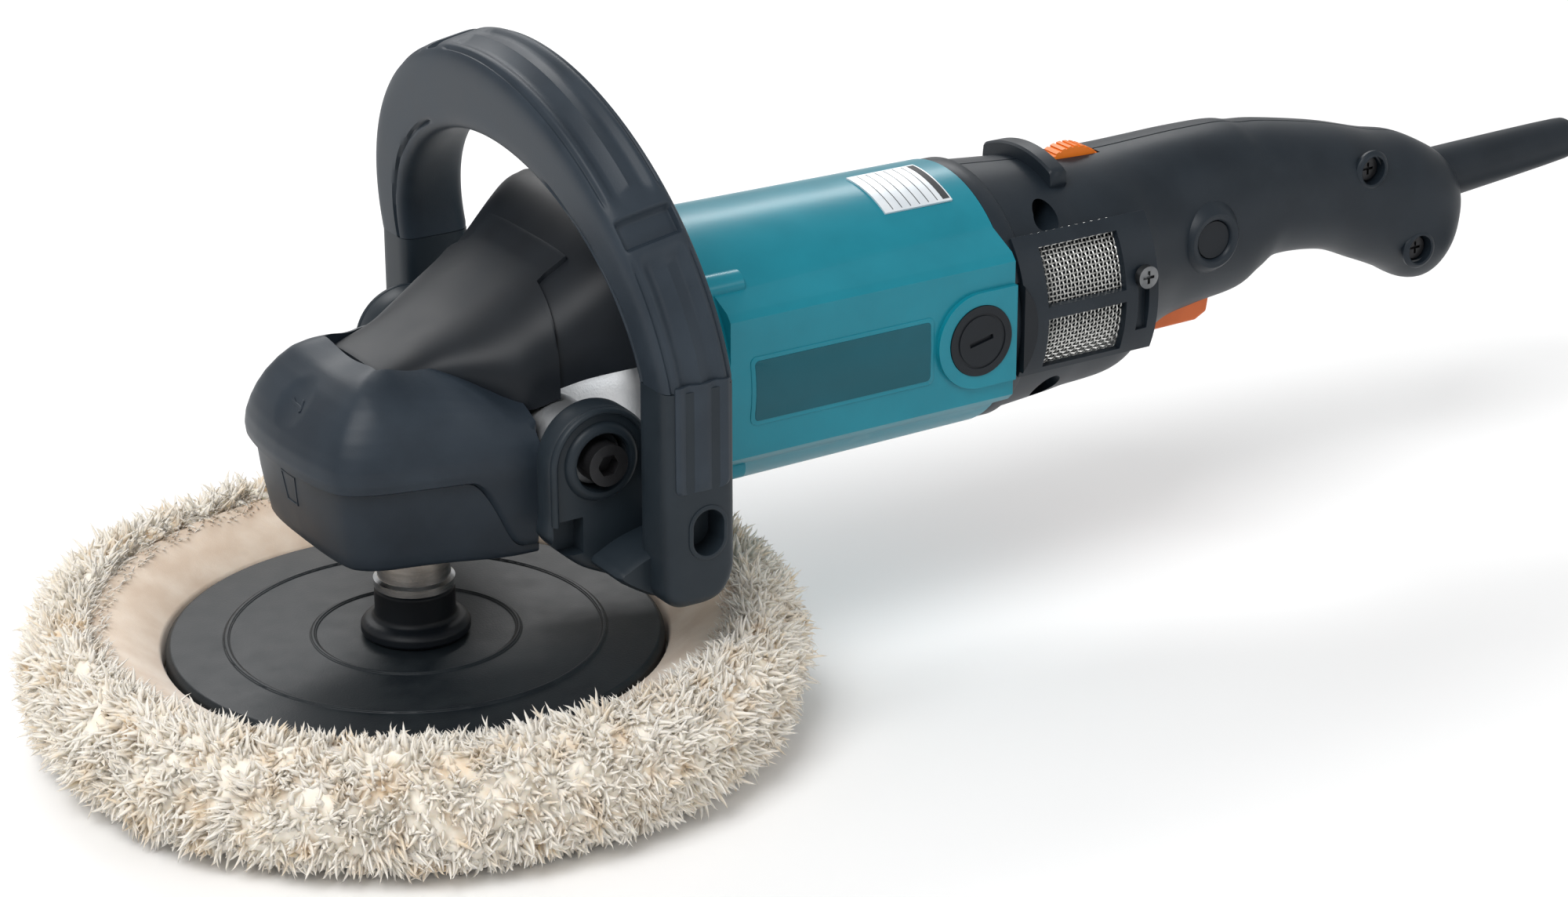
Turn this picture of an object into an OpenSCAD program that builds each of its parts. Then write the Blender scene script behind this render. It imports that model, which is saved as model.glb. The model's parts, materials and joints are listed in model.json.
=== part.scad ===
// Rotary polisher: a long electric motor body with a rear handle, a right-angle gear head,
// a wool pad on a rubber disc below the head, and a loop handle over the neck.
// The modules work in the spindle's frame: the spindle turns on Z at X = 0, Y = 0,
// the handle runs to the rear along +X, and the floor is Z = 0.

/* [Pad] */
// Outer radius of the wool pad
pad_r = 122; // [118:1:126]
// Height of the wool pad's upper edge
pad_h = 43; // [40:1:44]
// Radius of the rubber backing disc
disc_r = 77; // [74:1:80]
// Height of the backing disc's upper face
disc_top = 28; // [27:0.5:29]

/* [Head] */
// Height of the boot's lower edge
head_bottom = 66; // [64:1:66]
// Radius of the cast gear head
head_r = 33; // [33:0.5:34]
// Height of the motor axis
motor_z = 102; // [102:1:102]
// Height of the intermediate shaft
mid_z = 84; // [84:1:84]

/* [Body] */
// Outer radius of the motor housing at its front
motor_r = 44.5; // [44:0.5:45]
// Front end of the motor housing
motor_front = 84; // [84:1:84]
// Rear end of the motor housing
motor_rear = 194; // [193:1:195]
// Rear end of the handle
handle_end = 412; // [410:1:414]
// Wall of the handle halves
wall = 2.8; // [2.4:0.1:3]

/* [Loop handle] */
// Half width of the loop over its outside
loop_half = 90.5; // [90:0.5:92]
// Radial depth of the loop's bar
loop_bar = 18.5; // [18:0.5:19]
// Thickness of the loop's bar, front to back
loop_deep = 24; // [22:1:25]
// Lean of the loop's arch towards the front, degrees
loop_lean = 9.5; // [9:0.5:10]

/* [Gears] */
// Teeth of the bevel gear on the spindle
bevel_gear_teeth = 24; // [24:12:24]
// Teeth of the bevel pinion on the intermediate shaft
bevel_pinion_teeth = 9; // [9:1:9]
// Teeth of the intermediate gear
mid_gear_teeth = 28; // [28:1:28]
// Teeth cut on the armature shaft
armature_teeth = 8; // [8:1:8]

/* [Cord] */
// Diameter of the power cord
cord_d = 8; // [7:0.5:8]

/* [Hidden] */

// The row's origin is under the middle of the machine's box, on the floor.
spindle_x = (pad_r - handle_end) / 2;

// Places along the spindle
gear_apex_z = mid_z;
lower_bearing_z = 68.2;
upper_bearing_z = 106.5;
box_top_z = 71.5;
head_top_z = 117;
gear_chamber_top_z = 105.8;

// Places along the motor axis
mid_bearing_x = 33;
mid_gear_x = 62;
mid_gear_w = 8;
needle_x = 73;
front_bearing_x = 83.5;
fan_x = 94;
core_x = 108;
core_len = 50;
commutator_x = 171;
brush_x = 180;
rear_bearing_x = 199;
motor_inner_r = 40.2;
flange_x = 64;
flange_r = 48;
screw_ring_r = 42.2;

// Bevel pair: one apex, pitch cones in the ratio of the teeth
bevel_r = 27;
bevel_slope = atan(bevel_pinion_teeth / bevel_gear_teeth);
cone_len = bevel_r / cos(bevel_slope);
face_share = 0.7;
tooth_up = 1.6;
tooth_down = 2.0;
flank = 20;
bevel_slot_half = 2.3;

// Loop handle: upright legs, then an arch in its own leaning plane from the bend up
loop_x = 49.5;
loop_bend = 127;
loop_rise = 84.7;
loop_rise_in = 56.3;
loop_foot = 58.5;
bolt_x = 31;
bolt_z = 99.5;
plate_in = 54;
plate_out = 63;

// Rear handle and its controls
dial_x = 245.5;
dial_z = 129;
dial_r = 14.5;
pivot_x = 258;
pivot_z = 90;
button_x = 287.6;
button_z = 109.7;
handle_screw_spots = [[361.7, 119], [385.5, 86], [217, 131], [219, 72]];
brush_z = 101.5;
guard_start = [394, 0, 103.7];
guard_tilt = 3;
guard_len = 76;

// Route of the free cord, from the guard's mouth down to the coil, then the coil's place
cord_route = [
    [374, 0, 102.65], [394, 0, 103.7], [424, 0, 105.27], [448, 0, 106.53], [472, 0, 107.79], [481, 0, 107.2],
    [491, 0, 104.2], [501, 0, 98], [509, 0, 89], [515, 0, 77], [520, 0, 60], [524.5, 0, 42],
    [530.5, 0, 29], [540, 0, 19], [552, 0, 13.5], [566, 0, 12]
];
coil_center = [566, -56];
coil_in = 27;
coil_out = 60;
plug_x = 548;
plug_y = -112;
plug_z = 8;

// ---- helpers ----------------------------------------------------------------

function unit(v) = v / norm(v);
function spow(a, p) = sign(a) * pow(abs(a), p);

// One ring of a lofted body, across X: centre, half height, half width, tilt and squareness
function x_ring(x, z, h, w, tilt, e, count = 36) = [
    for (i = [0:count - 1])
        let (a = 360 * i / count, u = h * spow(sin(a), 2 / e))
        [x + u * sin(tilt), w * spow(cos(a), 2 / e), z + u * cos(tilt)]
];

// A closed body through rings of equal point counts, ordered anticlockwise seen from its far end
module loft(rings) {
    n = len(rings[0]);
    m = len(rings);
    points = [for (r = rings) each r];
    sides = [
        for (j = [0:m - 2], i = [0:n - 1])
            let (k = (i + 1) % n)
            each [[j * n + i, (j + 1) * n + i, (j + 1) * n + k], [j * n + i, (j + 1) * n + k, j * n + k]]
    ];
    near = [for (i = [1:n - 2]) [0, i, i + 1]];
    far = [for (i = [1:n - 2]) [(m - 1) * n, (m - 1) * n + i + 1, (m - 1) * n + i]];
    polyhedron(points = points, faces = concat(sides, near, far));
}

// Round tube swept along points, with rings set square to the route
module sweep(route, r, sides = 10) {
    n = len(route);
    rings = [
        for (i = [0:n - 1])
            let (
                t = unit(route[min(i + 1, n - 1)] - route[max(i - 1, 0)]),
                side = unit(cross(abs(t[2]) > 0.9 ? [1, 0, 0] : [0, 0, 1], t)),
                up = cross(t, side)
            )
            [for (k = [0:sides - 1]) route[i] + r * (cos(360 * k / sides) * side + sin(360 * k / sides) * up)]
    ];
    loft(rings);
}

// Helical wire spring along +Z from the origin
module spring(r, wire, length, turns) {
    steps = turns * 10;
    sweep([for (i = [0:steps]) [r * cos(36 * i), r * sin(36 * i), wire + (length - 2 * wire) * i / steps]], wire, 6);
}

module along_x(x, z) translate([x, 0, z]) rotate([0, 90, 0]) children();
module rod_x(x, z, r, length, y = 0) translate([x, y, z]) rotate([0, 90, 0]) cylinder(h = length, r = r, $fn = 96);
// Rod along Y from y0 to y1
module rod_y(x, z, r, y0, y1, fn = 64) translate([x, y0, z]) rotate([-90, 0, 0]) cylinder(h = y1 - y0, r = r, $fn = fn);
module ring_z(z, ri, ro, h) translate([0, 0, z]) difference() {
    cylinder(h = h, r = ro, $fn = 96);
    translate([0, 0, -1]) cylinder(h = h + 2, r = ri, $fn = 96);
}
module both_sides() {
    children();
    mirror([0, 1, 0]) children();
}

// Ball bearing parts, on +Z from the origin
module race_outer(ri, ro, w) ring_z(0, ro - 0.3 * (ro - ri), ro, w);
module race_inner(ri, ro, w) ring_z(0, ri, ri + 0.3 * (ro - ri), w);
module race_balls(ri, ro, w, count) {
    for (i = [0:count - 1])
        rotate([0, 0, 360 * i / count]) translate([(ri + ro) / 2, 0, w / 2]) sphere(r = 0.2 * (ro - ri) - 0.03, $fn = 24);
}

// Straight-sided gear outline with generous play, first tooth on +X
function gear_outline(teeth, root_r, tip_r, root_half, tip_half) = [
    for (i = [0:teeth - 1])
        let (a = 360 * i / teeth)
        each [
            for (q = [[root_r, -root_half], [tip_r, -tip_half], [tip_r, tip_half], [root_r, root_half]])
                [q[0] * cos(a) - q[1] * sin(a), q[0] * sin(a) + q[1] * cos(a)]
        ]
];

// Bevel cone about Z with its apex at the origin, in the X-Z half plane:
// slope is the pitch line's rise above the X axis, up turns the teeth's side
function bevel_point(slope, share, off, up) = share * (cone_len * [cos(slope), sin(slope)] + off * up * [-sin(slope), cos(slope)]);

// Space between two teeth: a pyramid from the apex, wide at the tips
module bevel_space(slope, up, half) {
    reach = 1.2;
    deep = bevel_point(slope, reach, -tooth_down, up);
    out = bevel_point(slope, reach, tooth_up + 1.4, up);
    half_deep = reach * (half - tooth_down * tan(flank));
    half_out = reach * (half + (tooth_up + 1.4) * tan(flank));
    base = [
        [deep[0], -half_deep, deep[1]], [deep[0], half_deep, deep[1]],
        [out[0], half_out, out[1]], [out[0], -half_out, out[1]]
    ];
    turn = up > 0 ? [[0, 1, 2], [0, 2, 3], [0, 3, 4], [0, 4, 1], [4, 3, 2], [4, 2, 1]]
                  : [[0, 2, 1], [0, 3, 2], [0, 4, 3], [0, 1, 4], [2, 3, 4], [1, 2, 4]];
    polyhedron(points = concat([[0, 0, 0]], base), faces = turn);
}

// ---- pad and spindle: these turn together ------------------------------------

module wool_pad() color([0.94, 0.90, 0.82]) {
    rotate_extrude($fn = 96) polygon([
        [0, 0], [104, 0], [113, 3], [119, 9], [pad_r, 18], [pad_r, 24], [119, 33], [113, 40],
        [106, pad_h], [100, 41.5], [99.3, 36], [81.2, 24.2], [80.6, 14.8], [0, 14.8]
    ]);
}

module pad_hide() color([0.88, 0.80, 0.70]) {
    rotate_extrude($fn = 96) polygon([
        [8, 14.9], [80.5, 14.9], [81.1, 24.3], [99.2, 36.1], [97.2, 37.8], [disc_r + 0.9, 26.4],
        [disc_r + 0.4, 17.4], [8, 17.4]
    ]);
}

module backing_disc() color([0.13, 0.15, 0.17]) {
    rotate_extrude($fn = 96) polygon([
        [12.2, 17.5], [disc_r - 1, 17.5], [disc_r, 18.5], [disc_r, disc_top - 1.5], [disc_r - 1.5, disc_top],
        [59.2, disc_top], [58.9, disc_top + 0.7], [57.7, disc_top + 0.7], [57.4, disc_top],
        [32.6, disc_top], [32.3, disc_top + 0.7], [31.2, disc_top + 0.7], [30.9, disc_top],
        [7.1, disc_top], [7.1, 26.2], [12.2, 26.2]
    ]);
}

module pad_lock_nut() color("silver") difference() {
    translate([0, 0, 18]) cylinder(h = 8.1, r = 12, $fn = 96);
    translate([0, 0, 17]) cylinder(h = 10, r = 7, $fn = 96);
    for (a = [45, 135])
        rotate([0, 0, a]) translate([-20, -1.5, 17]) cube([40, 3, 3]);
}

module pad_sleeve() color([0.08, 0.09, 0.10]) {
    rotate_extrude($fn = 96) polygon([
        [7, disc_top + 0.05], [15.5, disc_top + 0.05], [17, disc_top + 1.4], [17, disc_top + 3.6],
        [15.8, disc_top + 5], [13.4, disc_top + 6], [12.5, disc_top + 7.5], [12.5, 43.2], [11.7, 44], [7, 44]
    ]);
}

module spindle() color("silver") {
    rotate_extrude($fn = 96) polygon([
        [0, 19.2], [6.2, 19.2], [7, 20], [7, 44.2], [12.6, 44.2], [12.6, 46.6], [11.4, 47.4],
        [11.4, 58], [10, 59], [10, 64], [7.2, 64.4], [7.2, 68.1], [6, 68.1], [6, 106.4], [4, 106.4], [4, 115], [0, 115]
    ]);
}

module bevel_gear() color("gainsboro") translate([0, 0, gear_apex_z]) {
    tip_in = bevel_point(bevel_slope, face_share, tooth_up, -1);
    tip_out = bevel_point(bevel_slope, 1, tooth_up, -1);
    difference() {
        rotate_extrude($fn = 96) polygon([
            [6, 9], [17, 9], tip_in, tip_out, [29, 12], [29, 19], [14, 20], [14, 22.4], [6, 22.4]
        ]);
        for (i = [0:bevel_gear_teeth - 1])
            rotate([0, 0, 360 * i / bevel_gear_teeth]) bevel_space(bevel_slope, -1, bevel_slot_half);
        for (i = [0:11])
            rotate([0, 0, 30 * i]) translate([24, 0, 15.6]) rotate([0, 90, 0]) cylinder(h = 8, r = 2.6, $fn = 32);
    }
}

module spindle_inner_rings() color("lightgray") {
    translate([0, 0, lower_bearing_z]) race_inner(6, 14, 8);
    translate([0, 0, upper_bearing_z]) race_inner(4, 11, 7);
}

// ---- intermediate shaft -------------------------------------------------------

module intermediate_shaft() color("silver") along_x(0, mid_z) {
    rotate_extrude($fn = 64) polygon([
        [0, 17.6], [4.5, 17.6], [4.5, 31], [5, 31], [5, needle_x - 0.2], [4, needle_x - 0.2], [4, 80.2], [0, 80.2]
    ]);
}

module bevel_pinion() color("gainsboro") {
    slope = 90 - bevel_slope;
    tip_in = bevel_point(slope, face_share, tooth_up, -1);
    tip_out = bevel_point(slope, 1, tooth_up, -1);
    along_x(0, mid_z) rotate([0, 0, 180]) difference() {
        rotate_extrude($fn = 96) polygon([
            [4.5, 18], [5.2, 18], tip_in, tip_out, [8.1, 28.6], [8.1, 31], [4.5, 31]
        ]);
        for (i = [0:bevel_pinion_teeth - 1])
            rotate([0, 0, 360 * (i + 0.5) / bevel_pinion_teeth]) bevel_space(slope, -1, bevel_slot_half);
    }
}

module intermediate_gear() color("gainsboro") along_x(mid_gear_x, mid_z) difference() {
    rotate([0, 0, 180 + 180 / mid_gear_teeth])
        linear_extrude(height = mid_gear_w) polygon(gear_outline(mid_gear_teeth, 12.75, 14.75, 0.8, 0.35));
    translate([0, 0, -1]) cylinder(h = mid_gear_w + 2, r = 5, $fn = 64);
}

module intermediate_inner_ring() color("lightgray") along_x(mid_bearing_x, mid_z) race_inner(5, 11, 8);

// ---- armature -------------------------------------------------------------------

module armature_shaft() color("silver") along_x(0, motor_z) {
    translate([0, 0, 60]) linear_extrude(height = 12.8)
        polygon(gear_outline(armature_teeth, 2.85, 4.75, 0.78, 0.33));
    rotate_extrude($fn = 64) polygon([
        [0, 72.8], [4.75, 72.8], [5, 73.2], [5, 92], [6, 92], [6, commutator_x - 1], [5, commutator_x - 1],
        [5, rear_bearing_x - 0.2], [4, rear_bearing_x - 0.2], [4, 206.6], [0, 206.6]
    ]);
}

module armature_core() color("slategray") along_x(core_x, motor_z) difference() {
    cylinder(h = core_len, r = 24.4, $fn = 96);
    translate([0, 0, -1]) cylinder(h = core_len + 2, r = 6, $fn = 64);
    for (i = [0:11])
        rotate([0, 0, 30 * i]) translate([16.9, -2.5, -1]) cube([10, 5, core_len + 2]);
}

module armature_windings() color("peru") along_x(0, motor_z) {
    ring_z(core_x - 4.1, 6.05, 21, 4.05);
    ring_z(core_x + core_len + 0.05, 6.05, 21, 10);
    for (i = [0:11])
        rotate([0, 0, 30 * i]) translate([17, -2.4, core_x - 0.2]) cube([3.9, 4.8, core_len + 0.4]);
}

module commutator() color("darkgoldenrod") along_x(commutator_x, motor_z) difference() {
    cylinder(h = 18, r = 12, $fn = 96);
    translate([0, 0, -1]) cylinder(h = 20, r = 5, $fn = 64);
    for (i = [0:23])
        rotate([0, 0, 15 * i]) translate([11.2, -0.3, -1]) cube([2, 0.6, 15]);
}

module cooling_fan() color("dimgray") along_x(fan_x, motor_z) {
    difference() {
        union() {
            cylinder(h = 1.6, r = 37, $fn = 96);
            cylinder(h = 9, r = 12, $fn = 96);
            for (i = [0:19])
                rotate([0, 0, 18 * i]) translate([11.5, -0.7, 0]) cube([25, 1.4, 9]);
        }
        translate([0, 0, -1]) cylinder(h = 11, r = 6, $fn = 64);
    }
}

module armature_inner_rings() color("lightgray") {
    along_x(front_bearing_x, motor_z) race_inner(5, 13, 8);
    along_x(rear_bearing_x, motor_z) race_inner(4, 11, 7);
}

module bearing_outer_rings() color("lightgray") {
    translate([0, 0, lower_bearing_z]) race_outer(6, 14, 8);
    translate([0, 0, upper_bearing_z]) race_outer(4, 11, 7);
    along_x(mid_bearing_x, mid_z) race_outer(5, 11, 8);
    along_x(needle_x, mid_z) ring_z(0, 4.03, 6.5, 7.4);
    along_x(front_bearing_x, motor_z) race_outer(5, 13, 8);
    along_x(rear_bearing_x, motor_z) race_outer(4, 11, 7);
}

module bearing_balls() color("white") {
    translate([0, 0, lower_bearing_z]) race_balls(6, 14, 8, 8);
    translate([0, 0, upper_bearing_z]) race_balls(4, 11, 7, 7);
    along_x(mid_bearing_x, mid_z) race_balls(5, 11, 8, 8);
    along_x(front_bearing_x, motor_z) race_balls(5, 13, 8, 8);
    along_x(rear_bearing_x, motor_z) race_balls(4, 11, 7, 7);
}

// ---- gear head --------------------------------------------------------------------

module gear_housing() color([0.80, 0.82, 0.84]) difference() {
    union() {
        translate([0, 0, box_top_z + 0.1]) cylinder(h = head_top_z - 9 - box_top_z - 0.1, r = head_r, $fn = 96);
        translate([0, 0, head_top_z - 9]) cylinder(h = 9, r1 = head_r, r2 = head_r - 11, $fn = 96);
        rod_x(5, 94, 26, 35);
        rod_x(28, 99, 35, flange_x - 28);
        rod_x(flange_x, motor_z, flange_r, motor_front - 0.1 - flange_x);
        both_sides() rod_y(bolt_x, bolt_z, 11.3, 26, plate_in - 0.1);
        for (a = [45:90:315])
            rod_x(flange_x, motor_z + screw_ring_r * sin(a), 7, motor_front - 0.1 - flange_x, screw_ring_r * cos(a));
    }
    // gear chamber, open below
    translate([0, 0, 60]) cylinder(h = gear_chamber_top_z - 60, r = 30.2, $fn = 96);
    translate([0, 0, gear_chamber_top_z - 1]) cylinder(h = 2, r = 15, $fn = 96);
    translate([0, 0, upper_bearing_z - 2]) cylinder(h = 9, r = 11, $fn = 96);
    translate([0, 0, upper_bearing_z]) cylinder(h = 9, r = 6, $fn = 64);
    // room for the bearing box under the neck
    translate([0, 0, 50]) cylinder(h = box_top_z + 0.1 - 50, r = head_r + 0.2, $fn = 96);
    // bevel pinion, front bearing, spur gear and armature pinion
    rod_x(0, mid_z, 13, mid_bearing_x - 0.1);
    rod_x(mid_bearing_x - 0.5, mid_z, 11, 8.5);
    rod_x(40, mid_z, 8, 10);
    rod_x(46, mid_z, 16.5, 30);
    rod_x(56, motor_z, 8, 20);
    // seat of the bearing retainer
    rod_x(72.5, motor_z, 40, 20);
    // loop bolts' threads
    both_sides() rod_y(bolt_x, bolt_z, 4.03, 34, 60);
    // housing screws
    for (a = [45:90:315])
        rod_x(flange_x - 1, motor_z + screw_ring_r * sin(a), 2.3, 30, screw_ring_r * cos(a));
    // shaft lock pin's bore, radial, on the far front side
    rotate([0, 0, 120]) translate([28, 0, gear_apex_z + 15.6]) rotate([0, 90, 0]) cylinder(h = 10, r = 2.45, $fn = 48);
}

module bearing_box() color([0.78, 0.80, 0.82]) difference() {
    union() {
        translate([0, 0, head_bottom]) cylinder(h = box_top_z - head_bottom, r = head_r, $fn = 96);
        translate([0, 0, head_bottom]) cylinder(h = 76.2 - head_bottom, r = 17.5, $fn = 96);
        translate([0, 0, 60.5]) cylinder(h = 6, r = 17, $fn = 96);
    }
    translate([0, 0, lower_bearing_z]) cylinder(h = 10, r = 14, $fn = 96);
    translate([0, 0, 50]) cylinder(h = 20, r = 10.4, $fn = 96);
    // notches for the face wrench that tightens it
    for (a = [0:60:300])
        rotate([0, 0, a]) translate([24, -2, head_bottom - 1]) cube([4, 4, 3.5]);
}

module bearing_retainer() color([0.74, 0.76, 0.78]) difference() {
    union() {
        rod_x(72.6, motor_z, 39.9, 11.3);
        rod_x(80, motor_z, 16.5, 11.6);
    }
    rod_x(front_bearing_x, motor_z, 13, 20);
    rod_x(70, motor_z, 7, 30);
    rod_x(needle_x, mid_z, 6.5, 7.4);
    rod_x(70, mid_z, 5.4, 10);
}

// Boot outline at one height: the foot's outline moved out by d, most at the front
foot = [
    [-36.5, 0], [-36.2, 14], [-35, 24.5], [-32.6, 29], [-26.4, 32.8], [-14, 36], [-4.6, 38.6], [6.6, 42.4],
    [19.5, 45.2], [19.5, 22]
];
foot_ring = concat([for (p = foot) [p[0], -p[1]]], [[19.5, 0]], [for (i = [len(foot) - 1:-1:1]) foot[i]]);
function boot_ring(z, d) = [
    for (p = foot_ring)
        let (q = unit([p[0] + 8, p[1]]))
        p[0] > 19 ? [19.5, p[1] * (1 + min(0, d) / 40), z] : [p[0] + d * q[0], p[1] + 0.7 * d * q[1], z]
];

module head_boot() color([0.17, 0.20, 0.23]) difference() {
    loft([
        boot_ring(head_bottom, -1), boot_ring(head_bottom + 2, 0), boot_ring(84, 5.2), boot_ring(91, 8),
        boot_ring(95, 7.4), boot_ring(104, 4.4), boot_ring(112, -0.6), boot_ring(119, -8), boot_ring(124, -16),
        boot_ring(127.5, -27)
    ]);
    translate([0, 0, 50]) cylinder(h = head_top_z + 0.2 - 50, r = head_r + 0.3, $fn = 96);
    rod_x(4.7, 94, 26.3, 30);
    // room for the cover's tongue and front edge
    loft([for (i = [0:3]) let (c = cowl[i]) cowl_ring(c[0] - (i == 0 ? 0.3 : 0), c[1] + 20, c[2] + 0.4, c[3] - 0.3)]);
    rotate([0, 0, 120]) translate([20, 0, gear_apex_z + 15.6]) rotate([0, 90, 0]) cylinder(h = 40, r = 7.5, $fn = 64);
}

// Cowl section: roof height, half width at the sides and lower edge
function cowl_ring(x, top, w, low) = [
    [x, w, low], [x, 0.96 * w, top - 0.45 * (top - low)], [x, 0.78 * w, top - 1.6], [x, 0.55 * w, top],
    [x, -0.55 * w, top], [x, -0.78 * w, top - 1.6], [x, -0.96 * w, top - 0.45 * (top - low)], [x, -w, low]
];
cowl = [
    [-16.8, 119.8, 13.5, 117.3], [3.6, 125.6, 16.5, 117.3], [14, 131, 25, 119.6], [26, 137.4, 34, 119.4],
    [40, 146.3, 41.5, 119], [55, 157, 46.5, 120], [62, 159.5, 48, 121]
];

module top_cover() color([0.10, 0.12, 0.15]) difference() {
    loft([for (c = cowl) cowl_ring(c[0], c[1], c[2], c[3])]);
    loft([
        for (c = [cowl[1], cowl[2], cowl[3], cowl[4], cowl[5], cowl[6]])
            cowl_ring(c[0] + (c[0] > 60 ? 1 : 0), c[1] - 2.8, c[2] - 2.8, c[3] - 3)
    ]);
}

module shaft_lock_pin() color([0.12, 0.13, 0.15]) rotate([0, 0, 120]) translate([0, 0, gear_apex_z + 15.6])
    rotate([0, 90, 0]) {
        translate([0, 0, 30]) cylinder(h = 12, r = 2.4, $fn = 48);
        translate([0, 0, 38.5]) cylinder(h = 5.5, r = 7, $fn = 64);
    }

module shaft_lock_spring() color("silver") rotate([0, 0, 120]) translate([33.1, 0, gear_apex_z + 15.6])
    rotate([0, 90, 0]) spring(4, 0.45, 5.3, 4);

// ---- loop handle ----------------------------------------------------------------------

// The arch's plane leans forward about a line across the machine at the bend
module loop_place() translate([loop_x, 0, loop_bend]) rotate([0, -loop_lean, 0]) children();

// Half of an oval, closed straight down to a given depth
module half_oval(half, rise, down) polygon(concat(
    [for (i = [0:30]) [half * cos(6 * i), rise * sin(6 * i)]],
    [[-half, -down], [half, -down]]
));

// Arch in its own plane: x is across the machine, y is up from the bend
module arch(inset, down) difference() {
    half_oval(loop_half - inset, loop_rise - inset, down);
    half_oval(loop_half - loop_bar + inset, loop_rise_in + inset, down + 5);
}

// Stand the arch up, centred front to back
module stand(deep) rotate([90, 0, 90]) linear_extrude(height = deep, center = true) children();

module loop_frame() color([0.13, 0.15, 0.17]) difference() {
    union() {
        loop_place() stand(12) arch(5, 4);
        both_sides() {
            // upright leg, rounded at its foot
            translate([0, loop_half, 0]) rotate([90, 0, 0]) linear_extrude(height = loop_bar) union() {
                translate([loop_x + loop_deep / 2 - 12, loop_foot + 12]) circle(r = 12, $fn = 64);
                translate([loop_x - loop_deep / 2 + 6, loop_foot + 6]) circle(r = 6, $fn = 48);
                translate([loop_x - loop_deep / 2 + 6, loop_foot]) square([loop_deep - 18, 20]);
                translate([loop_x - loop_deep / 2, loop_foot + 6]) square([loop_deep - 12, 20]);
                translate([loop_x - loop_deep / 2, loop_foot + 12]) square([loop_deep, loop_bend - loop_foot - 12]);
            }
            // bolt plate and its arm to the leg's foot
            translate([0, plate_out, 0]) rotate([90, 0, 0]) linear_extrude(height = plate_out - plate_in) union() {
                translate([bolt_x, bolt_z]) circle(r = 17, $fn = 64);
                polygon([
                    [10, 79], [24, 66], [38, 60], [49, loop_foot + 0.2], [54, loop_foot + 1.2], [57.8, loop_foot + 3.6],
                    [60.2, loop_foot + 7.2], [61, loop_foot + 12], [60, 78], [48, 96], [48, bolt_z], [14, bolt_z]
                ]);
                translate([14, 78]) square([4, bolt_z - 78]);
            }
            translate([0, loop_half - 10, 0]) rotate([90, 0, 0]) linear_extrude(height = loop_half - 10 - plate_in)
                polygon([
                    [24, 66.5], [38, 60], [49, loop_foot + 0.2], [54, loop_foot + 1.2], [57.8, loop_foot + 3.6],
                    [60.2, loop_foot + 7.2], [61, 72], [44, 74], [30, 72]
                ]);
        }
    }
    both_sides() {
        rod_y(bolt_x, bolt_z, 4.3, 50, 70);
        rod_y(bolt_x, bolt_z, 8.8, plate_in + 4, 75);
        translate([14, plate_in + 3, 71]) cube([11, 20, 13]);
        // oval socket on the leg's outer face
        translate([0, loop_half - 9, 0]) {
            rod_y(51, 80, 5.2, 0, 20);
            rod_y(51, 84, 5.2, 0, 20);
            translate([45.8, 0, 80]) cube([10.4, 20, 4]);
        }
    }
}

module loop_grip() color([0.18, 0.21, 0.24]) difference() {
    loop_place() difference() {
        stand(loop_deep) arch(0, 6);
        stand(12.1) arch(4.95, 8);
        // cross grooves between the grip panels
        for (s = [-1, 1], t = [-3, 3])
            rotate([s * (t - 54), 0, 0]) translate([-20, -1, 0.97 * loop_half - 2.6]) cube([40, 2, 6]);
    }
    translate([0, -120, loop_bend - 40.1]) cube([120, 240, 40.2]);
}

module loop_bolts() color("dimgray") both_sides() difference() {
    union() {
        rod_y(bolt_x, bolt_z, 4, 36, 60);
        rod_y(bolt_x, bolt_z, 6.5, plate_in + 5.6, plate_in + 13.6);
    }
    rod_y(bolt_x, bolt_z, 3.5, plate_in + 9, plate_in + 15, 6);
}

module loop_washers() color("silver") both_sides() difference() {
    rod_y(bolt_x, bolt_z, 8.4, plate_in + 4, plate_in + 5.6);
    rod_y(bolt_x, bolt_z, 4.2, plate_in, plate_in + 10);
}

// ---- motor housing ----------------------------------------------------------------------

module motor_housing() color([0.10, 0.55, 0.62]) difference() {
    union() {
        along_x(0, motor_z) cylinder_between(motor_front, motor_rear, motor_r, motor_r - 1);
        // raised side panels between two creases
        translate([motor_front + 4, 0, 0]) rotate([90, 0, 90]) linear_extrude(height = motor_rear - motor_front - 4)
            polygon([
                [-43.6, 80], [-41, 77.5], [-30, 72], [30, 72], [41, 77.5], [43.6, 80], [43.6, 125], [41.5, 127.5],
                [29, 133.5], [-29, 133.5], [-41.5, 127.5], [-43.6, 125]
            ]);
        both_sides() intersection() {
            union() {
                rod_y(brush_x, brush_z, 16, 30, 45.2);
                translate([brush_x, 30, brush_z - 16]) cube([20, 15.2, 32]);
            }
            cube([motor_rear, 60, 200]);
        }
        for (a = [45:90:315])
            rod_x(motor_front, motor_z + screw_ring_r * sin(a), 4.4, 15, screw_ring_r * cos(a));
    }
    rod_x(80, motor_z, motor_inner_r, motor_rear - 83.5);
    // rear wall's vents and bearing seat
    rod_x(rear_bearing_x, motor_z, 11, 20);
    rod_x(190, motor_z, 6, 30);
    for (a = [45:90:315])
        rod_x(185, motor_z + 27 * sin(a), 9, 40, 27 * cos(a));
    // brush cap seats and brush holder bores
    both_sides() rod_y(brush_x, brush_z, 11.8, 40.6, 60);
    both_sides() translate([brush_x - 6.1, 20, brush_z - 7.6]) cube([12.2, 30, 15.2]);
    for (a = [45:90:315])
        rod_x(motor_front - 1, motor_z + screw_ring_r * sin(a), 2.05, 14, screw_ring_r * cos(a));
}

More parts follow.
